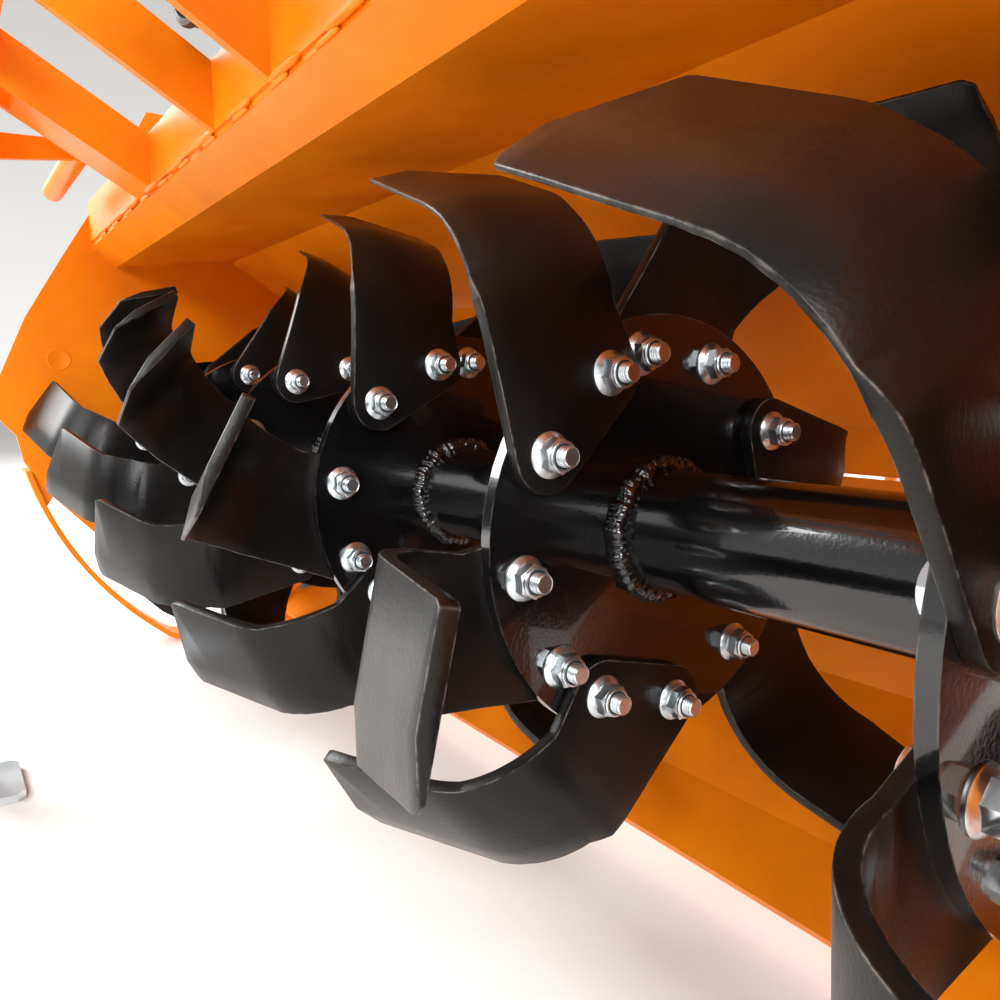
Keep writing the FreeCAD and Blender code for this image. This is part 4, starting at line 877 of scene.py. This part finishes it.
# %% Twelve bolts on each flange
NEAR_SEAT = FLANGE_THICK / 2 + TINE_THICK
FAR_SEAT = FLANGE_THICK / 2
for index in range(FLANGE_COUNT):
    middle = Matrix.Translation(flange_place(index))
    matrices = []
    for seat, set_turn in ((NEAR_SEAT, 0), (FAR_SEAT, FAR_SET_TURN)):
        for turn in tine_turns(index, set_turn):
            for half_angle in (BOLT_HALF_ANGLE, -BOLT_HALF_ANGLE):
                along, across = bolt_spot(half_angle)
                spot = Matrix.Translation(Vector((seat, -along, across)) * MM)
                spanner = turn_about("X", (index * 7 + len(matrices) * 37) % 60)
                matrices.append(middle @ turn @ spot @ spanner)
    bolts = copies_of(tine_bolt, matrices, f"tine_bolts_{index + 1}")
    dress(bolts, f"tine_bolts_{index + 1}", "rotor", "zinc")
bpy.data.objects.remove(tine_bolt)

# %% [markdown]
# Each flange is welded to the tube on both sides, and the weld shows as a rough, wet-looking
# ring under the black paint. A torus gives the ring, and its vertices are pushed in and out by
# a ripple that repeats every few millimetres and by noise, as a hand-laid bead does. A bump
# would be lighter, but the bead's outline against the tube would stay a perfect circle.

# %% Weld beads round the tube
TUBE_RADIUS = 38.05
BEAD_RADIUS = 6.6
RIPPLES = 52


def weld_ring(major, minor, seed):
    """A rippled bead round the X axis, in millimetres."""
    bpy.ops.mesh.primitive_torus_add(
        major_radius=major * MM,
        minor_radius=minor * MM,
        major_segments=208,
        minor_segments=12,
        rotation=(0, math.pi / 2, 0),
    )
    bead = bpy.context.object
    apply_place(bead)
    for vertex in bead.data.vertices:
        across = Vector((0, vertex.co.y, vertex.co.z))
        heart = across.normalized() * major * MM
        angle = math.atan2(vertex.co.z, vertex.co.y)
        rough = noise.noise(vertex.co / (3.4 * MM) + Vector((seed * 9.1, 0, 0)))
        slow = noise.noise(vertex.co / (12 * MM) + Vector((0, seed * 5.3, 0)))
        swell = 1 + 0.16 * abs(math.sin(angle * RIPPLES / 2)) + 0.34 * rough + 0.34 * slow
        vertex.co = heart + (vertex.co - heart) * swell
    return bead


beads = []
for index in range(FLANGE_COUNT):
    for side in (-1, 1):
        bead = weld_ring(TUBE_RADIUS + 0.8, BEAD_RADIUS, index * 2 + side)
        bead.data.transform(Matrix.Translation(Vector((side * (FLANGE_THICK / 2 + 0.8), 0, 0)) * MM))
        bead.data.transform(Matrix.Translation(flange_place(index)))
        beads.append(bead)
flange_welds = join_pieces(beads, "flange_welds")
only(flange_welds)
bpy.ops.object.shade_smooth()
dress(flange_welds, "flange_welds", "rotor", "rotor_paint", black_gloss)

# %% [markdown]
# The sheet metal is held together by short stitch welds: a bead, a gap, a bead. Each stitch is
# a sphere drawn out along the seam, rippled in the same way as the rings. A stitch is modelled
# once for each length and copied along its seam.

# %% Stitch welds on the seams


def stitch(length, wide, seed):
    """A rippled bead along X, in millimetres."""
    bpy.ops.mesh.primitive_uv_sphere_add(segments=40, ring_count=10, radius=1)
    bead = bpy.context.object
    bead.matrix_world = turn_about("Y", 90)
    apply_place(bead)
    for vertex in bead.data.vertices:
        along = vertex.co.x
        full = (1 - abs(along) ** 4) ** 0.5 / max(1e-6, (1 - along * along) ** 0.5) if abs(along) < 0.999 else 1
        spot = Vector((along * length / 2, vertex.co.y * wide * full, vertex.co.z * wide * full))
        rough = noise.noise(spot / 2.5 + Vector((seed * 7.7, 0, 0)))
        swell = 1 + 0.12 * math.sin(spot.x * 1.9) + 0.2 * rough
        vertex.co = Vector((spot.x, spot.y * swell, spot.z * swell)) * MM
    only(bead)
    bpy.ops.object.shade_smooth()
    return bead


# name, body, start and end of the seam, stitches, length and width of a stitch
SEAMS = [
    ("beam_stitches", "frame", (-700, -140, 321), (700, -140, 321), 13, 62, 3.4),
    ("beam_back_stitches", "frame", (-690, -80, 321), (690, -80, 321), 9, 50, 3.2),
    ("lip_stitches", "frame", (-690, -138.5, 316.5), (690, -138.5, 316.5), 15, 38, 2.6),
    ("deck_stitches", "frame", (-640, 84, 315), (-140, 84, 315), 4, 50, 3.0),
    ("deck_stitches_right", "frame", (140, 84, 315), (640, 84, 315), 4, 50, 3.0),
]
for seam_name, body, start, end, count, length, wide in SEAMS:
    bead = stitch(length, wide, len(seam_name))
    line = Vector(end) - Vector(start)
    aim = line.to_track_quat("X", "Z").to_matrix().to_4x4()
    matrices = []
    for index in range(count):
        spot = Vector(start) + line * (index + 0.5) / count
        half_turn = turn_about("X", 180 * (index % 2))
        matrices.append(Matrix.Translation(place(*spot)) @ aim @ half_turn)
    row = copies_of(bead, matrices, seam_name)
    bpy.data.objects.remove(bead)
    dress(row, seam_name, body, "orange_paint", orange)

# %% [markdown]
# Screws hold the lid, the caps, the bearing and the skids. They are all one shape, a washer and
# a chamfered hexagon head, in three sizes. The table names each group, the way its heads point
# and their places, so adding a screw is adding a place.

# %% Screw heads
ONWARDS = {
    "+X": Matrix.Identity(4),
    "-X": turn_about("Z", 180),
    "-Y": turn_about("Z", -90),
    "+Y": turn_about("Z", 90),
    "+Z": turn_about("Y", -90),
    "-Z": turn_about("Y", 90),
}


def screw(thread_size):
    """A washer and a hexagon head that stand on x = 0, for a thread size in millimetres."""
    flats = 1.6 * thread_size
    washer = 0.2 * thread_size
    plate = spun(
        [(0, 0), (0, 1.1 * thread_size), (washer * 0.8, 1.1 * thread_size), (washer, 1.03 * thread_size), (washer, 0)],
        32,
        "washer",
    )
    top = hexagon(washer - 0.2, washer + 0.64 * thread_size, flats)
    made = join_pieces([plate, top], "screw")
    made.data.materials.append(zinc)
    only(made)
    bpy.ops.object.shade_smooth_by_angle(angle=math.radians(28))
    return made


def round_places(middle, radius, count, first=0.0):
    """Places (y, z) evenly round a middle."""
    spots = []
    for index in range(count):
        angle = math.radians(first + 360 * index / count)
        spots.append((middle[0] + radius * math.cos(angle), middle[1] + radius * math.sin(angle)))
    return spots


def square_places(middle, half):
    return [(middle[0] + a * half, middle[1] + b * half) for a in (-1, 1) for b in (-1, 1)]


CROSS_SHAFT = (60, 455)
OUTER_FACE = 763
case_screws = [(y, z) for y, z in round_places((0, 0), 80, 8, 10) if z < 55]
case_screws += [(y, z) for y, z in round_places(CROSS_SHAFT, 56, 6, 30) if z > 430]
case_screws += [(-58, 160), (92, 150), (-31, 300), (104, 290)]
# name, body, way the heads point, thread, places from the rotor's axis
SCREWS = [
    ("bearing_screws", "frame", "-X", 12, [(-OUTER_FACE - 16, y, z) for y, z in square_places((0, 0), 56)]),
    ("case_screws", "frame", "+X", 8, [(OUTER_FACE + 62, y, z) for y, z in case_screws]),
    ("lid_screws", "frame", "+Z", 8, [(x, y, 555) for x in (-55, 0, 55) for y in (-6, 126)]),
    ("bridge_screws", "frame", "+Z", 10, [(x, y, 565) for x in (-58, 58) for y in (33, 87)]),
    ("input_cap_screws", "frame", "-Y", 8, [(y, -67, z) for y, z in round_places((0, 455), 45, 6, 30)]),
    ("tube_screws_left", "frame", "+X", 12, [(107, y, z) for y, z in square_places(CROSS_SHAFT, 47.5)]),
    ("tube_screws_right", "frame", "-X", 12, [(-107, y, z) for y, z in square_places(CROSS_SHAFT, 47.5)]),
    ("plate_screws_left", "frame", "-X", 12, [(743, y, z) for y, z in square_places(CROSS_SHAFT, 47.5)]),
    ("plate_screws_right", "frame", "+X", 12, [(-743, y, z) for y, z in square_places(CROSS_SHAFT, 47.5)]),
    ("skid_screws_left", "frame", "+X", 12, [(771, -236, 28), (771, -224, -48), (771, 140, -142), (771, 168, -142)]),
    ("skid_screws_right", "frame", "-X", 12, [(-771, -236, 28), (-771, -224, -48), (-771, 140, -142), (-771, 168, -142)]),
    ("lug_bolt_heads", "board", "+X", 12, [(313, 385, -140), (-287, 385, -140)]),
    ("lug_bolt_nuts", "board", "-X", 12, [(287, 385, -140), (-313, 385, -140)]),
    ("swivel_caps_left_out", "swivel_left", "+X", 10, [(328, 345, 330)]),
    ("swivel_caps_left_in", "swivel_left", "-X", 10, [(272, 345, 330)]),
    ("swivel_caps_right_in", "swivel_right", "+X", 10, [(-272, 345, 330)]),
    ("swivel_caps_right_out", "swivel_right", "-X", 10, [(-328, 345, 330)]),
    ("gearbox_plugs", "frame", "+Y", 12, [(0, 165, 385), (45, 165, 450)]),
]
for group_name, body, way, thread_size, spots in SCREWS:
    pattern = screw(thread_size)
    matrices = []
    for index, spot in enumerate(spots):
        spanner = turn_about("X", (index * 41) % 60)
        matrices.append(Matrix.Translation(place(*spot)) @ ONWARDS[way] @ spanner)
    group = copies_of(pattern, matrices, group_name)
    bpy.data.objects.remove(pattern)
    dress(group, group_name, body, "zinc")

# %% [markdown]
# No daylight shows over the rear board from inside, so the slot at its hinge is closed by a thin
# lip under the hood's back edge, a little ahead of the hinge bar. The lip has gaps where the
# board's knuckles reach round the bar, so it is five strips of sheet. Each is a cube, scaled to
# its span, with the small round that rolled sheet has on its edges.

# %% The lip under the hood's back edge
LIP_THICK = 2
LIP_LOW = 10
LIP_HIGH = 57
LIP_BACK = 321.4
LIP_SPANS = [(-752, -626), (-574, -226), (-174, 174), (226, 574), (626, 752)]
strips = []
for left, right in LIP_SPANS:
    bpy.ops.mesh.primitive_cube_add(size=MM)
    strip = bpy.context.object
    strip.scale = (right - left, LIP_THICK, LIP_HIGH - LIP_LOW)
    strip.location = place((left + right) / 2, LIP_BACK, (LIP_LOW + LIP_HIGH) / 2)
    bpy.context.view_layer.update()
    apply_place(strip)
    apply_modifier(strip, "BEVEL", width=0.0006, segments=2)
    strips.append(strip)
hood_lip = join_pieces(strips, "hood_lip")
dress(hood_lip, "hood_lip", "frame", "orange_paint", orange)

# %% [markdown]
# A tractor hangs the machine on three pins: two lower ones, each across the gap of a hitch arm,
# and one in the head of the mast. A pin is a turned bar with a collar, locked by a linch pin:
# a small pin down through its end, with a spring ring that snaps round it. The bar is a spun
# profile, because a profile holds the collar and both chamfers at once. The ring is a torus.

# %% A hitch pin
LINCH_BACK = 8


def hitch_pin(radius, length, name):
    """A pin that points to -X from its collar at x = 0, in millimetres."""
    bar = spun(
        [
            (-length, 0),
            (-length, radius - 2),
            (-length + 2, radius),
            (0, radius),
            (0, radius * 1.55),
            (6, radius * 1.55),
            (8, radius * 1.35),
            (8, 0),
        ],
        36,
        "pin_bar",
    )
    linch = spun(
        [(-radius - 7, 0), (-radius - 7, 2), (-radius - 5, 3.4), (radius + 3, 3.4), (radius + 3, 6),
         (radius + 10, 6), (radius + 12, 4), (radius + 12, 0)],
        20,
        "linch_pin",
    )
    linch.data.transform(turn_about("Y", -90))
    linch.data.transform(Matrix.Translation(Vector((LINCH_BACK - length, 0, 0)) * MM))
    bpy.ops.mesh.primitive_torus_add(
        major_radius=(radius + 6.5) * MM,
        minor_radius=1.5 * MM,
        major_segments=48,
        minor_segments=8,
        location=((LINCH_BACK - length) * MM, 0, 0),
        rotation=(0, math.pi / 2, 0),
    )
    ring = bpy.context.object
    apply_place(ring)
    pin = join_pieces([bar, linch, ring], name)
    only(pin)
    bpy.ops.object.shade_smooth_by_angle(angle=math.radians(30))
    return pin


# name, radius, length, place of the collar, and whether it points to +X instead
HITCH_PINS = [
    ("lower_pin_left", 10.8, 86, (397, -330, 330), False),
    ("lower_pin_right", 10.8, 86, (-397, -330, 330), True),
    ("top_pin", 9.3, 92, (36, -330, 790), False),
]
for pin_name, radius, length, spot, turned in HITCH_PINS:
    pin = hitch_pin(radius, length, pin_name)
    pin.data.transform(turn_about("Z", 180 if turned else 0))
    pin.data.transform(Matrix.Translation(place(*spot)))
    dress(pin, pin_name, "frame", "zinc", zinc)

# %% [markdown]
# The tractor drives the machine through a splined shaft with six teeth, under a black plastic
# guard. A cylinder of 36 sides has six sides to a tooth: three of them are extruded and scaled
# outwards, and three stay as the groove. Near the end the teeth have a round neck, which the
# coupling's lock snaps into. A Boolean with a spun ring cuts it, since every tooth is cut alike.

# %% The splined input shaft
SHAFT_AXIS = Vector((0, 0, 455))
SPLINE_ROOT = 14.6
SPLINE_TOP = 17.4
SPLINE_MIDDLE = -114
bpy.ops.mesh.primitive_cylinder_add(
    vertices=36,
    radius=SPLINE_ROOT * MM,
    depth=82 * MM,
    location=Vector((0, SPLINE_MIDDLE, 0)) * MM,
    rotation=(math.pi / 2, 0, 0),
)
splines = bpy.context.object
apply_place(splines)
only(splines)
bpy.ops.object.mode_set(mode="EDIT")


def on_a_tooth(middle, normal):
    turn = math.degrees(math.atan2(middle.z, middle.x)) % 60
    return abs(normal.y) < 0.5 and turn < 30


select_faces(splines, on_a_tooth)
bpy.ops.mesh.extrude_region_move()
outwards_by = SPLINE_TOP / SPLINE_ROOT
bpy.ops.transform.resize(
    value=(outwards_by, 1, outwards_by), center_override=Vector((0, SPLINE_MIDDLE, 0)) * MM
)
bpy.ops.object.mode_set(mode="OBJECT")
outwards(splines)
neck = spun([(-3.5, 15.6), (3.5, 15.6), (5, 19), (-5, 19)], 36, "neck")
neck.data.transform(turn_about("Z", -90))
neck.data.transform(Matrix.Translation(Vector((0, -132, 0)) * MM))
apply_modifier(splines, "BOOLEAN", operation="DIFFERENCE", object=neck, solver="EXACT")
bpy.data.objects.remove(neck)
apply_modifier(splines, "BEVEL", width=0.0005, segments=2, limit_method="ANGLE", angle_limit=math.radians(35))
shoulder = spun([(5, 0), (5, 20), (72, 20), (74, 18), (74, 0)], 40, "shoulder")
shoulder.data.transform(turn_about("Z", -90))
splined_shaft = join_pieces([splines, shoulder], "splined_shaft")
splined_shaft.data.transform(Matrix.Translation(place(*SHAFT_AXIS)))
only(splined_shaft)
bpy.ops.object.shade_smooth_by_angle(angle=math.radians(30))
dress(splined_shaft, "splined_shaft", "input_shaft", "bare_steel", machined)
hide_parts("pto_shaft")

# %% [markdown]
# Small things finish the frame. The guard ends in a rolled lip. The gearbox breathes through a
# mushroom cap. The parking stand is held by a spring pin in a boss with a pull ring, and a shut
# hole shows as a thin disc on the far side plate. All are round, so one table of profiles makes
# them, each with its direction, place, body and finish.

# %% Round fittings
# name, profile, steps, way it points, place, body, slot, finish
FITTINGS = [
    ("guard_lip", [(-6, 67.5), (-6, 72.6), (-4, 74), (-1, 74), (1, 72.6), (1, 67.5)], 64, "-Y",
     (0, -174, 455), "frame", "guard_plastic", guard_plastic),
    ("gearbox_breather", [(0, 0), (0, 6), (6, 6), (7, 10), (14, 10), (17, 7), (18, 0)], 32, "+Z",
     (83, 60, 555), "frame", "zinc", zinc),
    ("stand_pin", [(0, 0), (0, 12), (3, 10), (15, 10), (17, 8), (17, 4.5), (27, 4.5), (29, 3), (29, 0)],
     32, "+X", (-278.4, -366, 425), "frame", "zinc", zinc),
    ("shut_hole", [(0, 0), (0, 17.6), (0.7, 17), (0.9, 16), (0.6, 15), (0.6, 0)], 48, "+X",
     (-755, -196, 136), "frame", "orange_paint", orange),
]
for fitting_name, profile, steps, way, spot, body, slot_name, finish in FITTINGS:
    fitting = spun(profile, steps, fitting_name)
    fitting.data.transform(Matrix.Translation(place(*spot)) @ ONWARDS[way])
    only(fitting)
    bpy.ops.object.shade_smooth_by_angle(angle=math.radians(35))
    dress(fitting, fitting_name, body, slot_name, finish)
bpy.ops.mesh.primitive_torus_add(
    major_radius=13 * MM,
    minor_radius=1.6 * MM,
    major_segments=40,
    minor_segments=8,
    location=place(-278.4 + 23, -366, 425 - 9),
    rotation=(math.pi / 2, 0, 0),
)
pull_ring = bpy.context.object
apply_place(pull_ring)
only(pull_ring)
bpy.ops.object.shade_smooth()
dress(pull_ring, "stand_pull_ring", "frame", "zinc", zinc)
